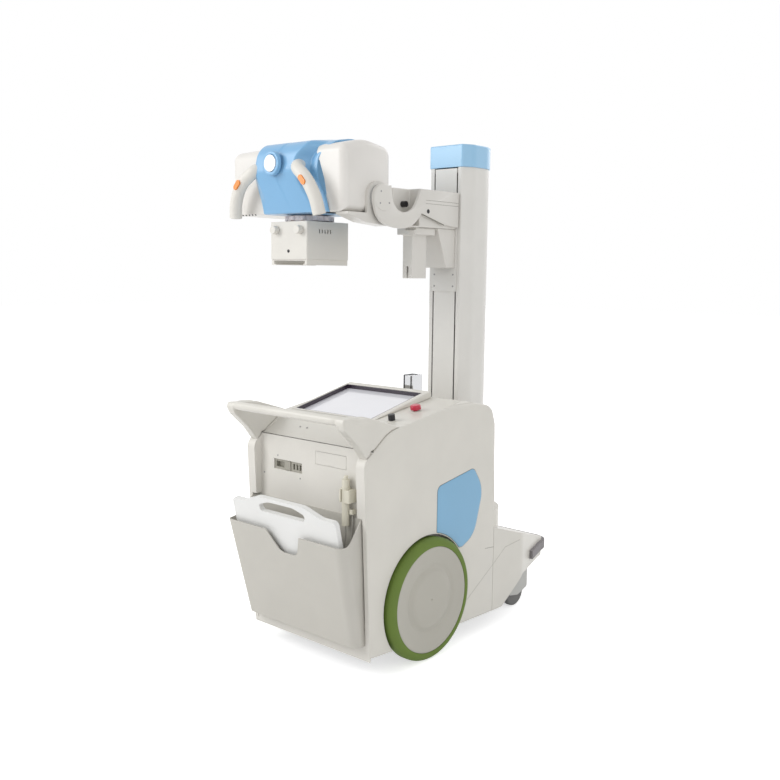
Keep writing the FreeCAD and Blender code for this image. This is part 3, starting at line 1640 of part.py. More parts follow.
def detector_hole():
    """Finger slot with an arched top, below the bar of the grip."""
    h = detector_hole_half_length
    z1 = detector_length + detector_grip_rise - detector_bar
    z0 = z1 - detector_hole_height
    return [
        (-h, z0, 13),
        (h, z0, 13),
        (h, z0 + 24, 10),
        (60, z1, 90),
        (-60, z1, 90),
        (-h, z0 + 24, 10),
    ]


def detector_panel():
    plate = prism_y(detector_outline(), 0, detector_thick)
    plate = plate.cut(prism_y(detector_hole(), -5, detector_thick + 5))
    return lean_place(plate)


def switch_y():
    return rear_panel_y - switch_stand


def switch_holder():
    """Clip on the rear panel with an open-fronted seat for the hand switch."""
    x0 = switch_x - 16
    x1 = x0 + holder_width
    y1 = rear_panel_y
    block = box(x0, x1, y1 - holder_depth, y1, holder_z0, holder_z1)
    front = [e for e in block.Edges if e.BoundBox.ZLength > 20 and e.BoundBox.YMax < y1 - 1]
    block = block.makeFillet(4, front)
    seat = Part.makeCylinder(switch_radius + switch_clearance, 200, V(switch_x, switch_y(), holder_z0 - 50))
    mouth = box(switch_x - 9, switch_x + 9, y1 - holder_depth - 1, switch_y(), holder_z0 - 1, holder_z1 + 1)
    gland = box(gland_x - 7, gland_x + 7, y1 - gland_depth, y1, gland_z, gland_z + 16)
    return group([block.cut(seat).cut(mouth), gland])


def hand_switch():
    """Slim body with a collar that rests on the clip."""
    y = switch_y()
    body = Part.makeCylinder(switch_radius, switch_top_z - switch_low_z, V(switch_x, y, switch_low_z))
    collar = Part.makeCylinder(switch_radius + 3, 5, V(switch_x, y, holder_z1 + 0.3))
    well = Part.makeCylinder(plunger_radius + running_clearance, well_depth + 2,
                             V(switch_x, y, switch_top_z - well_depth))
    return join([body, collar]).cut(well)


def switch_button():
    y = switch_y()
    low = switch_top_z - well_depth / 2
    stem = Part.makeCylinder(plunger_radius, plunger_length, V(switch_x, y, low))
    return stem.makeFillet(3, [e for e in stem.Edges if e.BoundBox.ZMin > low + 10])


def cord_points():
    """Route from the gland down behind the detector and back up to the hand switch."""
    y = switch_y()
    out = rear_panel_y - gland_depth / 2
    return [
        (gland_x, out, gland_z),
        (gland_x, out, gland_z - 38),
        (gland_x - 2, out - 3, gland_z - 88),
        (gland_x - 5, out - 6, gland_z - 144),
        (gland_x - 4, out - 8, gland_z - 200),
        (gland_x + 1, out - 9, gland_z - 250),
        (gland_x + 3, out - 10, gland_z - 292),
        (gland_x - 8, out - 11, gland_z - 328),
        (gland_x - 36, out - 12, gland_z - 346),
        (gland_x - 64, out - 13, gland_z - 330),
        (gland_x - 74, out - 13, gland_z - 294),
        (gland_x - 64, out - 13, gland_z - 246),
        (gland_x - 48, out - 12, gland_z - 194),
        (gland_x - 32, out - 10, gland_z - 140),
        (switch_x - 2, y - 1, gland_z - 90),
        (switch_x, y, switch_low_z - 38),
        (switch_x, y, switch_low_z),
    ]


def switch_cord():
    tube = tube_along(cord_points(), cord_radius)
    arcs = [e.Curve.Radius for e in round_path(cord_points()).Edges if isinstance(e.Curve, Part.Circle)]
    print("cord radii, mm:", [round(radius, 1) for radius in arcs])
    return tube


# All sub-parts, by node name

def build_all():
    right_wheel = wheel_disc()
    right_tyre = tyre()
    right_side = side_cover()
    fork = caster_fork()
    small_wheel = caster_wheel()
    shapes = {
        "chassis_frame": chassis_frame(),
        "internal_units": group([internal_units(), drive_motors()]),
        "side_cover_right": right_side,
        "side_cover_left": mirrored(right_side),
        "top_cover": top_cover(),
        "rear_panel": rear_panel(),
        "service_flap": service_flap(),
        "connector_module": connector_module(),
        "side_inlays": blue_panels(),
        "wheel_disc_right": right_wheel,
        "wheel_disc_left": mirrored(right_wheel),
        "tyre_right": right_tyre,
        "tyre_left": mirrored(right_tyre),
        "caster_fork_right": fork,
        "caster_fork_left": mirrored(fork),
        "caster_wheel_right": small_wheel,
        "caster_wheel_left": mirrored(small_wheel),
        "front_base_cover": front_base_cover(),
        "front_bumper": front_bumper(),
        "column_extrusion": column_extrusion(),
        "column_cap": column_cap(),
        "column_spindle": column_spindle(),
        "guide_rails": group([guide_rails(), pulley_pins()]),
        "belt_cover": belt_cover(),
        "pulley_upper": pulley(upper_pulley_z),
        "pulley_lower": pulley(lower_pulley_z),
        "lift_belt": lift_belt(),
        "counterweight": counterweight(),
        "carriage": carriage(),
        "arm_brackets": group([gusset(), parking_post()]),
        "arm_casting": arm_casting(),
        "arm_side_plate": arm_side_plate(),
        "arm_knob": arm_knob(),
        "tilt_ring": tilt_ring(),
        "head_bracket": group([head_bracket(), cable_outlet()]),
        "tube_housing": tube_housing(),
        "end_covers": end_covers(),
        "centre_cover": centre_cover(),
        "head_light": head_light(),
        "head_grips": head_grips(),
        "grip_button_right": grip_button(1),
        "grip_button_left": grip_button(-1),
        "swivel_ring": swivel_ring(),
        "collimator_box": collimator_box(),
        "collimator_rails": group([collimator_rails(), collimator_window()]),
        "collimator_knob_right": collimator_knob(1),
        "collimator_knob_left": collimator_knob(-1),
        "monitor_frame": monitor_frame(),
        "monitor_bezel": monitor_bezel(),
        "monitor_screen": monitor_screen(),
        "stop_button": stop_button(),
        "key_switch": key_switch(),
        "parking_receiver": parking_receiver(),
        "push_handle": push_handle(),
        "storage_bin": storage_bin(),
        "detector_panel": detector_panel(),
        "switch_holder": switch_holder(),
        "hand_switch": hand_switch(),
        "switch_button": switch_button(),
        "switch_cord": switch_cord(),
    }
    return shapes


def main():
    os.makedirs("parts", exist_ok=True)
    for name, shape in build_all().items():
        shape.translate(V(shift_x, shift_y, 0))
        shape.exportStep("parts/" + name + ".step")


if __name__ == "__main__":
    main()
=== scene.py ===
import math
import bpy
import bmesh
from mathutils import Matrix, Vector


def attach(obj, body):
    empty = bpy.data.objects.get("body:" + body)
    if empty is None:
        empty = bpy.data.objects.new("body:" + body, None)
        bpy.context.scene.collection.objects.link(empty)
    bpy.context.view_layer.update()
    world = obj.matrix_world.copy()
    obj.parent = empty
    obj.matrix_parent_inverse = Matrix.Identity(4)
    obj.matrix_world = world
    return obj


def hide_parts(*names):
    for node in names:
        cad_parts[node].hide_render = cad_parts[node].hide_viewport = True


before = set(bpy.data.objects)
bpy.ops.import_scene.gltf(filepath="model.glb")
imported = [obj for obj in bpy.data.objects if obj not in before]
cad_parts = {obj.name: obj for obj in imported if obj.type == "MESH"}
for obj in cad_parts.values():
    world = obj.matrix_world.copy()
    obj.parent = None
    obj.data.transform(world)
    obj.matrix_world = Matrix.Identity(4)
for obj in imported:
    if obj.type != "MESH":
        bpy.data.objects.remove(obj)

# All numbers below are millimetres in the machine's own frame, with Y zero on the wheel axle.
# The row frame is the same frame moved by this shift, in metres.
shift = Vector((118.5, -262.0, 0.0))


def row(x, y, z):
    return (Vector((x, y, z)) + shift) / 1000.0


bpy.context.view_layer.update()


# Camera: the place and aim from which the photograph was taken
camera_place = (2288, -2466, 1350)
camera_yaw = math.radians(41.4)
camera_pitch = math.radians(7.15)
camera_roll = math.radians(-0.65)
focal_pixels = 935
frame_pixels = 780
sensor_mm = 36


def make_camera():
    forward = Vector((-math.sin(camera_yaw) * math.cos(camera_pitch),
                      math.cos(camera_yaw) * math.cos(camera_pitch), -math.sin(camera_pitch)))
    right = Vector((math.cos(camera_yaw), math.sin(camera_yaw), 0))
    down = forward.cross(right)
    tilted_right = right * math.cos(camera_roll) + down * math.sin(camera_roll)
    tilted_down = down * math.cos(camera_roll) - right * math.sin(camera_roll)
    data = bpy.data.cameras.new("camera")
    data.sensor_width = sensor_mm
    data.lens = focal_pixels / frame_pixels * sensor_mm
    data.clip_end = 200
    camera = bpy.data.objects.new("camera", data)
    turn = Matrix((tilted_right, -tilted_down, -forward)).transposed().to_4x4()
    camera.matrix_world = Matrix.Translation(row(*camera_place)) @ turn
    bpy.context.collection.objects.link(camera)
    bpy.context.scene.camera = camera


make_camera()


# Colours and materials
def linear(colour):
    out = []
    for value in colour:
        value = value / 255.0
        out.append(value / 12.92 if value <= 0.04045 else ((value + 0.055) / 1.055) ** 2.4)
    return (out[0], out[1], out[2], 1.0)


def shade(colour, factor):
    return tuple(min(255.0, c * factor) for c in colour)


def finish_of(name, colour, rough, metallic=0.0, coat=0.0, mottle=0.03, mottle_scale=7.0,
              grain=0.05, grain_scale=900.0, edge=1.06, round_mm=1.2, spread=0.05):
    """Painted or moulded surface: faint mottling, fine grain, and softened edges that carry a painted
    highlight, so they come out slightly paler.
    """
    mat = bpy.data.materials.new(name)
    mat.use_nodes = True
    mat.diffuse_color = linear(colour)
    tree = mat.node_tree
    nodes = tree.nodes
    link = tree.links.new
    shader = nodes["Principled BSDF"]
    shader.inputs["Metallic"].default_value = metallic
    shader.inputs["Coat Weight"].default_value = coat
    shader.inputs["Coat Roughness"].default_value = 0.15
    place = nodes.new("ShaderNodeTexCoord").outputs["Object"]
    large = nodes.new("ShaderNodeTexNoise")
    large.inputs["Scale"].default_value = mottle_scale
    large.inputs["Detail"].default_value = 4
    link(place, large.inputs["Vector"])
    tone = nodes.new("ShaderNodeMix")
    tone.data_type = "RGBA"
    tone.inputs[6].default_value = linear(shade(colour, 1 - mottle))
    tone.inputs[7].default_value = linear(shade(colour, 1 + mottle))
    link(large.outputs["Fac"], tone.inputs[0])
    soft = nodes.new("ShaderNodeBevel")
    soft.samples = 4
    soft.inputs["Radius"].default_value = round_mm / 1000.0
    plain = nodes.new("ShaderNodeNewGeometry")
    match = nodes.new("ShaderNodeVectorMath")
    match.operation = "DOT_PRODUCT"
    link(soft.outputs["Normal"], match.inputs[0])
    link(plain.outputs["Normal"], match.inputs[1])
    # Painted highlight: where the softened normal turns away from the face, at the edges, the colour is
    # made paler by the edge factor.
    edge_highlight_mask = nodes.new("ShaderNodeMapRange")
    edge_highlight_mask.inputs["From Min"].default_value = 0.99
    edge_highlight_mask.inputs["From Max"].default_value = 0.80
    edge_highlight_mask.inputs["To Min"].default_value = 0.0
    edge_highlight_mask.inputs["To Max"].default_value = 0.6
    link(match.outputs["Value"], edge_highlight_mask.inputs["Value"])
    # Painted highlight mixed into the base colour at the edges.
    rim = nodes.new("ShaderNodeMix")
    rim.data_type = "RGBA"
    rim.inputs[7].default_value = linear(shade(colour, edge))
    link(edge_highlight_mask.outputs["Result"], rim.inputs[0])
    link(tone.outputs[2], rim.inputs[6])
    link(rim.outputs[2], shader.inputs["Base Color"])
    fine = nodes.new("ShaderNodeTexNoise")
    fine.inputs["Scale"].default_value = grain_scale
    fine.inputs["Detail"].default_value = 2
    link(place, fine.inputs["Vector"])
    gloss = nodes.new("ShaderNodeMapRange")
    gloss.inputs["To Min"].default_value = max(0.03, rough - spread)
    gloss.inputs["To Max"].default_value = min(1.0, rough + spread)
    link(large.outputs["Fac"], gloss.inputs["Value"])
    link(gloss.outputs["Result"], shader.inputs["Roughness"])
    bump = nodes.new("ShaderNodeBump")
    bump.inputs["Strength"].default_value = grain
    bump.inputs["Distance"].default_value = 0.0004
    link(fine.outputs["Fac"], bump.inputs["Height"])
    link(soft.outputs["Normal"], bump.inputs["Normal"])
    link(bump.outputs["Normal"], shader.inputs["Normal"])
    return mat


shell = finish_of("shell", (212, 209, 201), 0.42, coat=0.15)
panel = finish_of("panel", (216, 213, 206), 0.45)
head_white = finish_of("head_white", (222, 219, 214), 0.40, coat=0.15)
sky = finish_of("sky", (120, 172, 212), 0.38, coat=0.25, mottle=0.02)
inlay = finish_of("inlay", (122, 172, 205), 0.40, coat=0.2, mottle=0.02)
cap_blue = finish_of("cap_blue", (150, 196, 228), 0.35, coat=0.3, mottle=0.02)
green = finish_of("green", (94, 116, 42), 0.72, mottle=0.06, mottle_scale=14,
                  grain=0.25, grain_scale=500)
wheel_tone = finish_of("wheel_tone", (176, 173, 163), 0.45, mottle=0.02)
steel_paint = finish_of("steel_paint", (108, 110, 114), 0.5, mottle=0.05)
unit_tone = finish_of("unit_tone", (140, 146, 152), 0.4, metallic=0.6)
white_paint = finish_of("white_paint", (218, 216, 211), 0.38, coat=0.2, grain=0.08, grain_scale=500)
arm_paint = finish_of("arm_paint", (214, 211, 205), 0.38, coat=0.2, grain=0.08, grain_scale=500)
ground_steel = finish_of("ground_steel", (176, 180, 184), 0.25, metallic=1.0, grain=0.02)
chrome = finish_of("chrome", (205, 206, 208), 0.12, metallic=1.0, grain=0.01, spread=0.03)
iron = finish_of("iron", (70, 70, 72), 0.6, metallic=0.4, mottle=0.1, grain=0.3, grain_scale=300)
belt = finish_of("belt", (26, 26, 27), 0.75, grain=0.3, grain_scale=600)
soft_grey = finish_of("soft_grey", (128, 124, 126), 0.65, mottle=0.05, grain=0.3)
hood_grey = finish_of("hood_grey", (190, 190, 186), 0.5)
tread_grey = finish_of("tread_grey", (116, 116, 115), 0.75, mottle=0.08, grain=0.3, grain_scale=400)
black = finish_of("black", (24, 23, 26), 0.4, grain=0.1)
dark_frame = finish_of("dark_frame", (44, 32, 48), 0.25, coat=0.5)
glass_face = finish_of("glass_face", (229, 229, 234), 0.12, coat=0.6, mottle=0.01, grain=0.0)
lamp_white = finish_of("lamp_white", (240, 243, 247), 0.25, coat=0.5, mottle=0.01)
grip_white = finish_of("grip_white", (219, 216, 209), 0.5, grain=0.15, grain_scale=600)
orange = finish_of("orange", (236, 138, 46), 0.4, coat=0.2)
red = finish_of("red", (186, 22, 58), 0.3, coat=0.4)
bin_tone = finish_of("bin_tone", (192, 189, 181), 0.5, grain=0.12, grain_scale=500)
board_white = finish_of("board_white", (226, 226, 224), 0.4, coat=0.1)
cream = finish_of("cream", (214, 210, 194), 0.45)
cord_tone = finish_of("cord_tone", (168, 166, 160), 0.6, grain=0.2)
socket_tone = finish_of("socket_tone", (160, 157, 146), 0.5)
lobe_white = finish_of("lobe_white", (232, 220, 218), 0.45)
# Dark tone for real joints and seams, also used for the painted shadow line at the arm's step.
seam_and_shadow_dark = finish_of("seam_and_shadow_dark", (120, 117, 108), 0.7)
# Painted shade: darker tone for the lines along the creases of the side shell.
crease_shade = finish_of("crease_shade", (172, 169, 160), 0.6)
screw_steel = finish_of("screw_steel", (150, 150, 150), 0.3, metallic=0.9)

node_finish = {
    steel_paint: ("chassis_frame",),
    unit_tone: ("internal_units", "tube_housing"),
    shell: ("side_cover_right", "side_cover_left", "top_cover", "front_base_cover", "push_handle",
            "monitor_frame"),
    panel: ("rear_panel", "service_flap", "collimator_box", "collimator_rails"),
    socket_tone: ("connector_module",),
    inlay: ("side_inlays",),
    wheel_tone: ("wheel_disc_right", "wheel_disc_left"),
    green: ("tyre_right", "tyre_left"),
    hood_grey: ("caster_fork_right", "caster_fork_left"),
    tread_grey: ("caster_wheel_right", "caster_wheel_left"),
    soft_grey: ("front_bumper",),
    white_paint: ("column_extrusion", "belt_cover", "carriage"),
    cap_blue: ("column_cap",),
    ground_steel: ("column_spindle", "guide_rails", "pulley_upper", "pulley_lower"),
    belt: ("lift_belt",),
    iron: ("counterweight",),
    arm_paint: ("arm_brackets", "arm_casting", "arm_side_plate", "head_bracket"),
    black: ("arm_knob", "key_switch"),
    chrome: ("tilt_ring", "parking_receiver"),
    head_white: ("end_covers",),
    sky: ("centre_cover",),
    lamp_white: ("head_light",),
    grip_white: ("head_grips", "collimator_knob_right", "collimator_knob_left"),
    lobe_white: ("swivel_ring",),
    orange: ("grip_button_right", "grip_button_left"),
    dark_frame: ("monitor_bezel",),
    glass_face: ("monitor_screen",),
    red: ("stop_button",),
    bin_tone: ("storage_bin",),
    board_white: ("detector_panel",),
    cream: ("switch_holder", "hand_switch", "switch_button"),
    cord_tone: ("switch_cord",),
}


def dress(obj, material):
    obj.data.materials.clear()
    obj.data.materials.append(material)


for material, names in node_finish.items():
    for name in names:
        dress(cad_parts[name], material)


# The hand switch's lead: the same route as in the part's source
cord_route = [
    (214.0, -292.0, 560.0),
    (214.0, -292.0, 522.0),
    (212.0, -295.0, 472.0),
    (209.0, -298.0, 416.0),
    (210.0, -300.0, 360.0),
    (215.0, -301.0, 310.0),
    (217.0, -302.0, 268.0),
    (206.0, -303.0, 232.0),
    (178.0, -304.0, 214.0),
    (150.0, -305.0, 230.0),
    (140.0, -305.0, 266.0),
    (150.0, -305.0, 314.0),
    (166.0, -304.0, 366.0),
    (182.0, -302.0, 420.0),
    (189.0, -302.5, 470.0),
    (191.0, -301.5, 482.0),
    (191.0, -301.5, 520.0),
]
cord_radius = 2.6


def make_cord():
    data = bpy.data.curves.new("switch_lead", "CURVE")
    data.dimensions = "3D"
    spline = data.splines.new("NURBS")
    spline.points.add(len(cord_route) - 1)
    for point, place in zip(spline.points, cord_route):
        point.co = (*row(*place), 1)
    spline.order_u = 3
    spline.use_endpoint_u = True
    data.resolution_u = 12
    data.bevel_depth = cord_radius / 1000.0
    data.bevel_resolution = 6
    lead = bpy.data.objects.new("switch_lead", data)
    bpy.context.collection.objects.link(lead)
    data.materials.append(cord_tone)
    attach(lead, "chassis")
    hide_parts("switch_cord")


make_cord()


# Outlines and meshes
kept_radius = 2.0
least_radius = 0.6
weld_distance = 1e-6


def crossing(line_a, line_b):
    """Point where two lines, each a point and a direction, meet."""
    (p, d), (q, e) = line_a, line_b
    k = ((q[0] - p[0]) * e[1] - (q[1] - p[1]) * e[0]) / (d[0] * e[1] - d[1] * e[0])
    return Vector((p[0] + k * d[0], p[1] + k * d[1]))


def outline(corners, inset=0.0, arc_steps=8, run_steps=1, held=()):
    """Closed outline drawn inwards by an inset, its corners (a, b, radius) rounded; held edges stay."""
    count = len(corners)
    area = 0.0
    for i in range(count):
        a, b = corners[i], corners[(i + 1) % count]
        area += a[0] * b[1] - b[0] * a[1]
    turn = 1 if area > 0 else -1
    lines = []
    for i in range(count):
        a, b = corners[i], corners[(i + 1) % count]
        way = Vector((b[0] - a[0], b[1] - a[1])).normalized()
        inward = Vector((-way[1], way[0])) * turn
        push = 0.0 if i in held else inset
        lines.append((Vector(a[:2]) + inward * push, way))
    arcs = []
    for i in range(count):
        tip = crossing(lines[i - 1], lines[i])
        back = -lines[i - 1][1]
        on = lines[i][1]
        opening = back.angle(on)
        radius = max(corners[i][2] - inset, min(corners[i][2], kept_radius), least_radius)
        reach = radius / math.tan(opening / 2)
        centre = tip + (back + on).normalized() * (radius / math.sin(opening / 2))
        first = tip + back * reach - centre
        last = tip + on * reach - centre
        sweep = first.angle_signed(last)
        arcs.append([centre + Matrix.Rotation(-sweep * s / arc_steps, 2) @ first
                     for s in range(arc_steps + 1)])
    points = []
    for i in range(count):
        points += arcs[i]
        end = arcs[(i + 1) % count][0]
        steps = 1 if i in held else run_steps
        points += [arcs[i][-1].lerp(end, s / steps) for s in range(1, steps)]
    return points


def loft(rings, closed=True, cap_first=True, cap_last=True):
    """Vertices and faces of a skin drawn over rings of equal count."""
    count = len(rings[0])
    verts = [point for ring in rings for point in ring]
    faces = []
    for k in range(len(rings) - 1):
        for i in range(count if closed else count - 1):
            j = (i + 1) % count
            faces.append((k * count + i, k * count + j, (k + 1) * count + j, (k + 1) * count + i))
    if cap_first:
        faces.append(tuple(reversed(range(count))))
    if cap_last:
        faces.append(tuple(range(len(verts) - count, len(verts))))
    return verts, faces


def lathe(profile, origin, axis, steps=96, start=0.0, end=360.0):
    """Turn a profile of (along, radius) pairs about an axis through an origin."""
    axis = Vector(axis).normalized()
    side = axis.orthogonal().normalized()
    up = axis.cross(side)
    whole = end - start >= 360.0
    rings = []
    for along, radius in profile:
        ring = []
        for s in range(steps if whole else steps + 1):
            angle = math.radians(start + (end - start) * s / steps)
            out = side * math.cos(angle) + up * math.sin(angle)
            ring.append(Vector(origin) + axis * along + out * radius)
        rings.append(ring)
    return loft(rings, closed=whole)


def mesh_data(name, mesh, weld=True):
    """Mesh from (vertices, faces) in machine millimetres, facing outwards."""
    verts, faces = mesh
    data = bpy.data.meshes.new(name)
    data.from_pydata([row(*v) for v in verts], [], faces)
    build = bmesh.new()
    build.from_mesh(data)
    if weld:
        bmesh.ops.remove_doubles(build, verts=build.verts, dist=weld_distance)
    bmesh.ops.recalc_face_normals(build, faces=build.faces)
    build.to_mesh(data)
    build.free()
    return data


def add_piece(name, mesh, material, body, replaced=(), crease=35.0):
    """New piece from (vertices, faces) in machine millimetres."""
    return place_mesh(name, mesh_data(name, mesh), material, body, replaced, crease)


def place_mesh(name, data, material, body, replaced=(), crease=35.0):
    """Put a mesh in the scene as a piece of a body, in place of the nodes it stands for."""
    smooth_shade(data, crease)
    piece = bpy.data.objects.new(name, data)
    bpy.context.collection.objects.link(piece)
    data.materials.clear()
    data.materials.append(material)
    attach(piece, body)
    if replaced:
        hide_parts(*replaced)
    return piece


def settle(piece):
    """Apply a piece's modifiers to its mesh."""
    graph = bpy.context.evaluated_depsgraph_get()
    data = bpy.data.meshes.new_from_object(piece.evaluated_get(graph))
    piece.modifiers.clear()
    piece.data = data


def carve(piece, cutter):
    """Take a helper solid out of a piece, then remove the helper."""
    cut = piece.modifiers.new("cut", "BOOLEAN")
    cut.object = cutter
    cut.solver = "EXACT"
    settle(piece)
    bpy.data.objects.remove(cutter)


def open_sheet(piece):
    """Keep only the faces of the first material."""
    build = bmesh.new()
    build.from_mesh(piece.data)
    spare = [face for face in build.faces if face.material_index > 0]
    bmesh.ops.delete(build, geom=spare, context="FACES")
    build.to_mesh(piece.data)
    build.free()


def smooth_shade(data, crease):
    for face in data.polygons:
        face.use_smooth = True
    data.set_sharp_from_angle(angle=math.radians(crease))


def cutter_of(mesh):
    """Helper solid to be taken out of a piece."""
    cutter = bpy.data.objects.new("cutter", mesh_data("cutter", mesh, weld=False))
    bpy.context.collection.objects.link(cutter)
    return cutter


def softened(node, name, material, body, voxel_mm=2.5, rounds=6):
    """Rounded copy of a solid: remeshed evenly, then smoothed so that its edges turn soft."""
    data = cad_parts[node].data.copy()
    piece = bpy.data.objects.new(name, data)
    bpy.context.collection.objects.link(piece)
    grid = piece.modifiers.new("grid", "REMESH")
    grid.mode = "VOXEL"
    grid.voxel_size = voxel_mm / 1000.0
    soft = piece.modifiers.new("soft", "SMOOTH")
    soft.iterations = rounds
    soft.factor = 0.5
    settle(piece)
    data = piece.data
    bpy.data.objects.remove(piece)
    return place_mesh(name, data, material, body, (node,), crease=60.0)


def fullness(u, power):
    """Rise of a rounded edge: steep at the rim, level at the end."""
    return (1.0 - (1.0 - u) ** power) ** (1.0 / power)


def ease(value, low, high):
    """Smooth step from 0 to 1 between two values."""
    u = min(1.0, max(0.0, (value - low) / (high - low)))
    return u * u * (3 - 2 * u)


# Side shells: a rounded rim that swells from the seam out to the flat side
half_width = 297.0
seam_x = 288.0
slab_x = 150.0
body_outline = [(-284, 82, 1), (-318, 742, 42), (-196, 832, 150), (205, 897, 110), (400, 857, 80),
                (400, 64, 1)]
bottom_edge = 5
shell_wall = 2.6
axle_z = 218.0
arch_radius = 227.0
arch_cut = (120, 320)

# Width of the rim, from the rear over the top to the front
rear_swell = 105.0
top_swell = 60.0
front_swell = 92.0
least_swell = 2.0
rear_to_top_z = (730, 845)
top_to_front_y = (250, 395)
front_low_z = 470.0
front_rise = 377.0
front_power = 2.2

# Section of the rim
rim_power = 2.15
rim_rows = 14
rim_crowding = 1.6
level_step = 2.0
level_count = 56

# The deck's rounded shoulder and the leaning front corner
shoulder_x = 249.0
shoulder_z = 857.2
shoulder_radius = 48.0
corner_x = 207.0
corner_y = 310.2
corner_radius = 90.0
corner_lean = 0.24
corner_top_z = 917.0


def rim_of(y, z):
    """Width of the rounded rim at a point of the outline."""
    swell = rear_swell + (top_swell - rear_swell) * ease(z, *rear_to_top_z)
    if y > top_to_front_y[0]:
        rise = max(0.0, (z - front_low_z) / front_rise)
        narrow = least_swell + front_swell * rise ** front_power
        swell = swell + (narrow - swell) * ease(y, *top_to_front_y)
    return swell


def under_shoulder(x, y, z):
    """Keep a point of the shell inside the deck's rounded shoulder and the leaning front corner."""
    shoulder = shoulder_z + math.sqrt(max(0.0, shoulder_radius ** 2 - (x - shoulder_x) ** 2))
    corner = corner_radius + corner_lean * (corner_top_z - z)
    front = corner_y + math.sqrt(max(0.0, corner ** 2 - (x - corner_x) ** 2))
    return min(y, front), min(z, shoulder)


def side_shell(side, name, node):
    """Slab with the rounded rim, cut by the wheel arch, opened behind and below, then given a wall."""
    levels = [outline(body_outline, inset=level_step * n, arc_steps=10, run_steps=14, held=(bottom_edge,))
              for n in range(level_count)]
    base = levels[0]
    count = len(base)
    rims = [rim_of(*point) for point in base]
    rings = [[(side * slab_x, point[0], point[1]) for point in base]]
    for k in range(rim_rows + 1):
        ring = []
        for i, swell in enumerate(rims):
            u = (k / rim_rows) ** rim_crowding
            reach = swell * u / level_step
            low = min(int(reach), level_count - 2)
            point = levels[low][i].lerp(levels[low + 1][i], reach - low)
            x = seam_x + (half_width - seam_x) * fullness(u, rim_power)
            y, z = under_shoulder(x, point[0], point[1])
            ring.append((side * x, y, z))
        rings.append(ring)
    piece = add_piece(name, loft(rings), shell, "chassis", (node,), crease=50.0)
    inner_cap = len(piece.data.polygons) - 2
    for face in piece.data.polygons:
        behind = face.index < count or face.index == inner_cap
        under = face.index < count * (rim_rows + 1) and face.index % count == count - 1
        face.material_index = 1 if behind or under else 0
    near, far = arch_cut
    disc = [(near, 0), (near, arch_radius), (far, arch_radius), (far, 0)]
    cutter = cutter_of(lathe(disc, (0, 0, axle_z), (side, 0, 0)))
    for face in cutter.data.polygons:
        face.material_index = 1
    carve(piece, cutter)
    open_sheet(piece)
    wall = piece.modifiers.new("wall", "SOLIDIFY")
    wall.thickness = shell_wall / 1000.0
    wall.offset = -1.0
    settle(piece)
    smooth_shade(piece.data, 40)


liner_profile = [(297, arch_radius + 0.3), (253, arch_radius + 0.3), (253, 60), (250.5, 60),
                 (250.5, arch_radius + 3), (296.6, arch_radius + 3)]
liner_start = -38
liner_sweep = 256
liner_steps = 80


def arch_liner(side, name):
    """Lining of the wheel arch and the wall behind the wheel."""
    rings = []
    for s in range(liner_steps + 1):
        angle = math.radians(liner_start + liner_sweep * s / liner_steps)
        out = Vector((0, math.cos(angle), math.sin(angle)))
        rings.append([Vector((side * x, 0, axle_z)) + out * r for x, r in liner_profile])
    add_piece(name, loft(rings), shell, "chassis")


inlay_outline = [(50, 444, 3), (50, 607, 24), (262, 644, 26), (320, 560, 95), (270, 392, 95),
                 (200, 362, 22), (181, 363, 4), (165, 380, 40), (135, 406, 40), (100, 427, 40),
                 (75, 437, 40)]
inlay_profile = ((295.5, 0.0), (297.8, 0.0), (298.6, 0.8), (299.0, 2.5), (299.3, 7.0), (299.4, 16.0))
joint_profile = ((296.0, -1.6), (297.25, -1.6), (297.25, 0.2), (296.0, 0.2))


def inlay_rings(side, profile):
    return [[(side * x, a, b) for a, b in outline(inlay_outline, inset=inset, arc_steps=10)]
            for x, inset in profile]


def side_inlay(side, name, replaced):
    """Blue field above the arch, softly raised, with a fine joint round it."""
    field = loft(inlay_rings(side, inlay_profile))
    add_piece(name, field, inlay, "chassis", replaced, crease=50.0)
    joint = inlay_rings(side, joint_profile)
    joint.append(joint[0])
    line = loft(joint, cap_first=False, cap_last=False)
    add_piece(name + "_joint", line, seam_and_shadow_dark, "chassis")


both_sides = ((1, "right"), (-1, "left"))
for side, word in both_sides:
    side_shell(side, "side_shell_" + word, "side_cover_" + word)
    arch_liner(side, "arch_liner_" + word)
    side_inlay(side, "inlay_" + word, ("side_inlays",) if side > 0 else ())

front_strip = [(-287, 390, 2), (-287, 412.4, 2), (287, 412.4, 2), (287, 390, 2)]
strip_profile = ((394.5, 0.0), (398.6, 0.0), (399.4, 0.8))
strip_rings = [[(a, y, b) for a, b in outline(front_strip, inset=inset)] for y, inset in strip_profile]
add_piece("front_strip", loft(strip_rings), shell, "chassis")


# Wheels: the disc's face from the hub out to the rim, then its back and the axle
wheel_profile = [(318.2, 0), (318.2, 2.4), (320.4, 3.0), (321.2, 40), (321.4, 84), (320.4, 96),
                 (317.4, 104), (313.6, 110), (312.4, 116), (313.0, 122), (315.6, 128), (317.2, 136),
                 (318.4, 150), (320.4, 168), (321.6, 176), (322.8, 181), (322.8, 185), (321.6, 187.4),
                 (319.5, 187.9), (275, 187.9), (275, 29), (269, 29), (269, 15), (205, 15), (205, 0)]


def wheel_face(side, name, node, body):
    face = lathe(wheel_profile, (0, 0, axle_z), (side, 0, 0), steps=144)
    add_piece(name, face, wheel_tone, body, (node,), crease=28.0)


for side, word in both_sides:
    wheel_face(side, "wheel_face_" + word, "wheel_disc_" + word, "drive_wheel_" + word)


# Head covers
head_x = -262.0
head_left_x = -560.0
head_right_x = 35.0
head_foot_z = 1556
end_section = [(-154, head_foot_z, 7), (-158, 1784, 34), (-40, 1811, 200), (86, 1790, 40),
               (88, head_foot_z, 10)]
end_inner_right = -96.0
end_inner_left = -372.0
end_round = 34.0
end_draw = 0.8
end_steps = 8

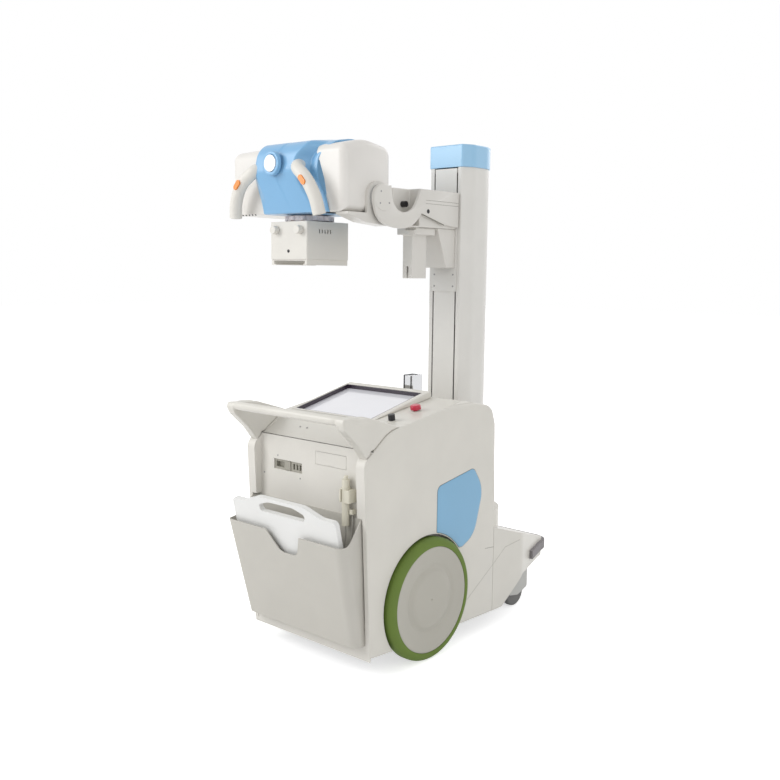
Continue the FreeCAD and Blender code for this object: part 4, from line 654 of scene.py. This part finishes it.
# Blue cover: its side limits, drawn in at foot and crown, its swelling and the fold beside it
cover_left = -404.0
cover_right = -88.0
foot_range = (head_foot_z, 1700)
crown_range = (1735, 1800)
foot_draw_left = 32.0
foot_draw_right = 50.0
crown_draw_right = 54.0
columns = 72
edge_tuck = 5.0
edge_round = 1.2
front_y = -167
front_foot_y = -161
bulge_half = 98.0
bulge_depth = 47
bulge_start = -12
bulge_end_right = 40
bulge_end_left = 62
fold_x = -124
fold_half = 12.0
fold_depth = 6.0
fold_front_y = -60
fold_low = (1640, 1740)
fold_high = (1780, 1806)

lamp_front_y = -214
lamp_z = 1728.0
lamp_profile = [(-2, 43.5), (9.5, 42.5), (11.5, 41), (12.2, 38.5), (12.2, 33), (11.5, 31), (9, 29.6),
                (-2, 29.4), (-2, 43.5)]


def head_end(name, inner_x, outer_x, replaced=()):
    """White end of the head, its free end rounded all round."""
    way = 1 if outer_x > inner_x else -1
    stations = [(inner_x, 0.0), (outer_x - way * end_round, 0.0)]
    for k in range(1, end_steps + 1):
        u = k / end_steps
        inset = end_round * end_draw * (1 - math.sqrt(1 - u * u * 0.98))
        stations.append((outer_x - way * end_round * (1 - u), inset))
    rings = [[(x, a, b) for a, b in outline(end_section, inset=inset)] for x, inset in stations]
    add_piece(name, loft(rings), head_white, "head", replaced, crease=40.0)


def blue_edges(z):
    """Left and right limits of the blue cover at a height."""
    low = 1.0 - ease(z, *foot_range)
    high = ease(z, *crown_range)
    left = cover_left + foot_draw_left * low
    right = cover_right + foot_draw_right * low + crown_draw_right * high
    return left, right


def cover_section(swell):
    """Outline of the blue cover where the swelling has a given strength."""
    flat = 1 - swell
    front = front_y - bulge_depth * swell
    foot = front_foot_y - 2 * swell
    return [(foot, head_foot_z, 7), (front, 1704, 60), (front + 15, 1800 - 4 * flat, 62),
            (-40, 1818 - 3 * flat, 200), (92, 1795, 44), (92, head_foot_z, 10)]


def blue_cover():
    """Middle cover with the swelling that carries the lamp, and its fold beside it."""
    rings = []
    for k in range(-1, columns + 2):
        s = min(1.0, max(0.0, k / columns))
        x = cover_left + (cover_right - cover_left) * s
        off = max(0.0, abs(x - head_x) - bulge_half)
        swell = 1.0 - ease(off, bulge_start, bulge_end_right if x > head_x else bulge_end_left)
        fold = math.exp(-((x - fold_x) / fold_half) ** 2)
        inset = 0.0
        if k in (-1, columns + 1):
            inset = edge_tuck
        elif s in (0.0, 1.0):
            inset = edge_round
        ring = []
        for a, b in outline(cover_section(swell), inset=inset, arc_steps=10, run_steps=6):
            left, right = blue_edges(b)
            groove = 0.0
            if a < fold_front_y:
                groove = fold_depth * fold * ease(b, *fold_low) * (1 - ease(b, *fold_high))
            ring.append((left + (right - left) * s, a + groove, b))
        rings.append(ring)
    add_piece("blue_cover", loft(rings), sky, "head", ("centre_cover",), crease=55.0)


def lamp_boss():
    """Raised collar round the lamp, a ring without end faces."""
    verts, faces = lathe(lamp_profile, (head_x, lamp_front_y, lamp_z), (0, -1, 0), steps=72)
    add_piece("lamp_boss", (verts, faces[:-2]), sky, "head", crease=40.0)


head_end("head_end_right", end_inner_right, head_right_x, ("end_covers",))
head_end("head_end_left", end_inner_left, head_left_x)
blue_cover()
lamp_boss()


# Swan-necked plate of the arm
def curve_through(points, steps=6):
    """Smooth open curve through points."""
    ends = [points[0]] + list(points) + [points[-1]]
    out = []
    for i in range(1, len(ends) - 2):
        p0, p1, p2, p3 = (Vector(p) for p in ends[i - 1:i + 3])
        for n in range(steps):
            t = n / steps
            out.append(0.5 * (2 * p1 + (p2 - p0) * t + (2 * p0 - 5 * p1 + 4 * p2 - p3) * t * t
                              + (3 * p1 - p0 - 3 * p2 + p3) * t ** 3))
    out.append(Vector(points[-1]))
    return out


def pulled_in(points, inset):
    """Closed line of points moved inwards by an inset."""
    count = len(points)
    area = sum(points[i - 1][0] * points[i][1] - points[i][0] * points[i - 1][1] for i in range(count))
    turn = 1 if area > 0 else -1
    out = []
    for i in range(count):
        way = (points[(i + 1) % count] - points[i - 1]).normalized()
        out.append(points[i] + Vector((-way[1], way[0])) * turn * inset)
    return out


disc_and_hook = [(46, 1655), (30, 1653), (5, 1658), (-22, 1650), (-39, 1630), (-43, 1607), (-40, 1582),
                 (-28, 1552), (-8, 1531), (19, 1518), (70, 1508.6), (122, 1509), (166, 1523), (198, 1547),
                 (216, 1567)]
arm_end = [(349, 1531), (436, 1524), (436, 1656)]
notch = [(210, 1655), (206, 1645), (193, 1615), (166, 1581), (121, 1565.5), (82, 1573), (57, 1599),
         (49, 1634)]
plate_profile = ((58.1, 0.0), (68.6, 0.0), (69.6, 0.5), (70.0, 1.5))
tilt_disc_profile = [(66, 0), (66, 46), (70.6, 46), (71.6, 45), (72, 43), (72, 0)]
tilt_centre = (0, 5, 1610)

plate_edge = curve_through(disc_and_hook) + [Vector(p) for p in arm_end] + curve_through(notch)
plate_rings = [[(x, p[0], p[1]) for p in pulled_in(plate_edge, inset)] for x, inset in plate_profile]
add_piece("arm_plate", loft(plate_rings), arm_paint, "lift", ("arm_side_plate",),
          crease=40.0)
tilt_disc = lathe(tilt_disc_profile, tilt_centre, (1, 0, 0), steps=72)
add_piece("tilt_disc_face", tilt_disc, arm_paint, "lift")


# Parts with soft cast or moulded edges
softened("push_handle", "handle_soft", shell, "chassis", 2.6, 14)
softened("arm_casting", "arm_root_soft", arm_paint, "lift", 2.4, 4)
softened("arm_brackets", "arm_brackets_soft", arm_paint, "lift", 2.0, 3)
softened("monitor_frame", "monitor_frame_soft", shell, "chassis", 2.4, 8)


# Screws, small holes, fine seams, and dark lines of painted shade at a step and along creases
def studs(name, places, axis, radius, height, material, body):
    """Small round heads with a hollow middle, all in one piece."""
    verts = []
    faces = []
    profile = [(-0.6, radius), (height * 0.5, radius), (height, radius * 0.72), (height, radius * 0.42),
               (height * 0.35, radius * 0.34), (height * 0.35, 0.01)]
    for place in places:
        more, sides = lathe(profile, place, axis, steps=20)
        faces += [tuple(i + len(verts) for i in face) for face in sides]
        verts += more
    add_piece(name, (verts, faces), material, body)


def seam_or_shade_line(name, points, width, normal, material, body, lift=0.25):
    """Fine raised line through points on a face."""
    normal = Vector(normal)
    rings = []
    for i, place in enumerate(points):
        before = Vector(points[max(0, i - 1)])
        after = Vector(points[min(len(points) - 1, i + 1)])
        across = (after - before).normalized().cross(normal) * (width / 2)
        here = Vector(place)
        rings.append([here - across - normal * 0.5, here + across - normal * 0.5,
                      here + across * 0.7 + normal * lift, here - across * 0.7 + normal * lift])
    add_piece(name, loft(rings), material, body)


panel_y = -282.5
arm_face_x = 70
rearward = (0, -1, 0)
to_the_right = (1, 0, 0)
up_the_slope = (0, -0.8, 0.6)
screw_rise = 1.2
fine_seam = 1.4

panel_places = [(-163, panel_y, 704), (-235, panel_y, 633), (-48, panel_y, 637), (238, panel_y, 600)]
studs("panel_screws", panel_places, rearward, 3.0, screw_rise, screw_steel, "chassis")
disc_places = [(72, -10, 1631), (72, 33, 1593), (72, -14, 1590)]
studs("disc_screws", disc_places, to_the_right, 3.4, screw_rise, screw_steel, "lift")
studs("arm_plug", [(arm_face_x, 252, 1576)], to_the_right, 8.0, screw_rise, black, "lift")
for word, z in (("high", 1616), ("low", 1604)):
    ledge = [(arm_face_x, 238, z), (arm_face_x, 435, z)]
    seam_or_shade_line("arm_ledge_" + word, ledge, fine_seam, to_the_right, seam_and_shadow_dark, "lift")
# Painted shadow: a dark line along the step where the plate ends and the arm block carries on below.
arm_step_shadow = [(69.5, 214, 1565), (69.5, 348, 1530)]
seam_or_shade_line("arm_step_shadow", arm_step_shadow, 3.0, to_the_right, seam_and_shadow_dark, "lift")
studs("front_spot", [(head_x, -139.5, 1424)], rearward, 6.0, 2.0, black, "collimator")
dot_places = [(-500 + 18 * i, -151, 1558) for i in range(5)]
studs("head_dots", dot_places, (0, -1, -1), 3.4, 2.0, black, "head")
slope_places = [(-110, -225, 806), (-75, -225, 806)]
studs("slope_screws", slope_places, up_the_slope, 3.0, screw_rise, screw_steel, "chassis")
fender_line = [(403, 250), (478, 299), (582, 307)]
foot_line = [(236, 150), (287, 181), (397, 247)]
base_mark = [(345, 322), (399, 317)]


def side_seam_or_crease_shade(side, name, line, width, material):
    """Line through (y, z) points on the flat side of the body: a seam, or a line of painted shade along a
    crease.
    """
    points = [(side * half_width, y, z) for y, z in line]
    seam_or_shade_line(name, points, width, (side, 0, 0), material, "chassis")


# Painted shade along the fender and foot creases of the side shell.
for side, word in both_sides:
    side_seam_or_crease_shade(side, "fender_line_" + word, fender_line, 2.2, crease_shade)
    side_seam_or_crease_shade(side, "foot_line_" + word, foot_line, 2.2, crease_shade)
carriage_places = [(x, 438.5, z) for x in (-46, 46) for z in (1300, 1345)]
studs("carriage_screws", carriage_places, rearward, 3.4, 1.6, screw_steel, "lift")
for side, word in both_sides:
    horn_seam = [(side * 252, panel_y, 772), (side * 252, panel_y, 738), (side * 286, panel_y, 736)]
    seam_or_shade_line("horn_seam_" + word, horn_seam, fine_seam, rearward, seam_and_shadow_dark, "chassis")
for side, word in both_sides:
    side_seam_or_crease_shade(side, "base_mark_" + word, base_mark, 2.0, seam_and_shadow_dark)


# Floor, background and lamps, in metres and watts
floor_half = 30.0
floor_tone = 0.85
floor_glow = 0.6
ambient = 0.72


def make_floor():
    """Pale floor that keeps the soft shadow and reads white elsewhere."""
    data = bpy.data.meshes.new("floor")
    corners = [(x * floor_half, y * floor_half, 0) for x, y in ((-1, -1), (1, -1), (1, 1), (-1, 1))]
    data.from_pydata(corners, [], [(0, 1, 2, 3)])
    floor = bpy.data.objects.new("floor", data)
    bpy.context.collection.objects.link(floor)
    mat = bpy.data.materials.new("floor")
    mat.use_nodes = True
    nodes = mat.node_tree.nodes
    link = mat.node_tree.links.new
    nodes.clear()
    out = nodes.new("ShaderNodeOutputMaterial")
    matt = nodes.new("ShaderNodeBsdfDiffuse")
    matt.inputs["Color"].default_value = (floor_tone, floor_tone, floor_tone, 1)
    glow = nodes.new("ShaderNodeEmission")
    glow.inputs["Color"].default_value = (1, 1, 1, 1)
    path = nodes.new("ShaderNodeLightPath")
    seen = nodes.new("ShaderNodeMath")
    seen.operation = "MAXIMUM"
    link(path.outputs["Is Camera Ray"], seen.inputs[0])
    link(path.outputs["Is Glossy Ray"], seen.inputs[1])
    power = nodes.new("ShaderNodeMath")
    power.operation = "MULTIPLY"
    power.inputs[1].default_value = floor_glow
    link(seen.outputs[0], power.inputs[0])
    link(power.outputs[0], glow.inputs["Strength"])
    both = nodes.new("ShaderNodeAddShader")
    link(matt.outputs[0], both.inputs[0])
    link(glow.outputs[0], both.inputs[1])
    link(both.outputs[0], out.inputs["Surface"])
    data.materials.append(mat)


def make_world():
    """White background, dimmed where it lights the scene."""
    world = bpy.data.worlds.new("studio")
    bpy.context.scene.world = world
    world.use_nodes = True
    nodes = world.node_tree.nodes
    link = world.node_tree.links.new
    back = nodes["Background"]
    back.inputs["Color"].default_value = (1, 1, 1, 1)
    path = nodes.new("ShaderNodeLightPath")
    first = nodes.new("ShaderNodeMath")
    first.operation = "MAXIMUM"
    second = nodes.new("ShaderNodeMath")
    second.operation = "MAXIMUM"
    link(path.outputs["Is Camera Ray"], first.inputs[0])
    link(path.outputs["Is Glossy Ray"], first.inputs[1])
    link(first.outputs[0], second.inputs[0])
    link(path.outputs["Is Transmission Ray"], second.inputs[1])
    strength = nodes.new("ShaderNodeMapRange")
    strength.inputs["To Min"].default_value = ambient
    strength.inputs["To Max"].default_value = 1.0
    link(second.outputs[0], strength.inputs["Value"])
    link(strength.outputs["Result"], back.inputs["Strength"])


def make_lamp(name, place, aim, size, watts):
    data = bpy.data.lights.new(name, "AREA")
    data.size = size
    data.energy = watts
    lamp = bpy.data.objects.new(name, data)
    start = Vector(place)
    lamp.location = start
    lamp.rotation_euler = (Vector(aim) - start).to_track_quat("-Z", "Y").to_euler()
    bpy.context.collection.objects.link(lamp)


make_floor()
make_world()
make_lamp("key", (-2.2, -3.4, 2.8), (0, 0, 0.9), 2.2, 80)
make_lamp("fill", (3.8, -1.6, 2.2), (0, 0, 0.9), 2.5, 24)
make_lamp("rim", (0.5, 3.4, 3.2), (0, 0, 1.0), 2.5, 30)
bpy.context.scene.view_settings.view_transform = "Standard"
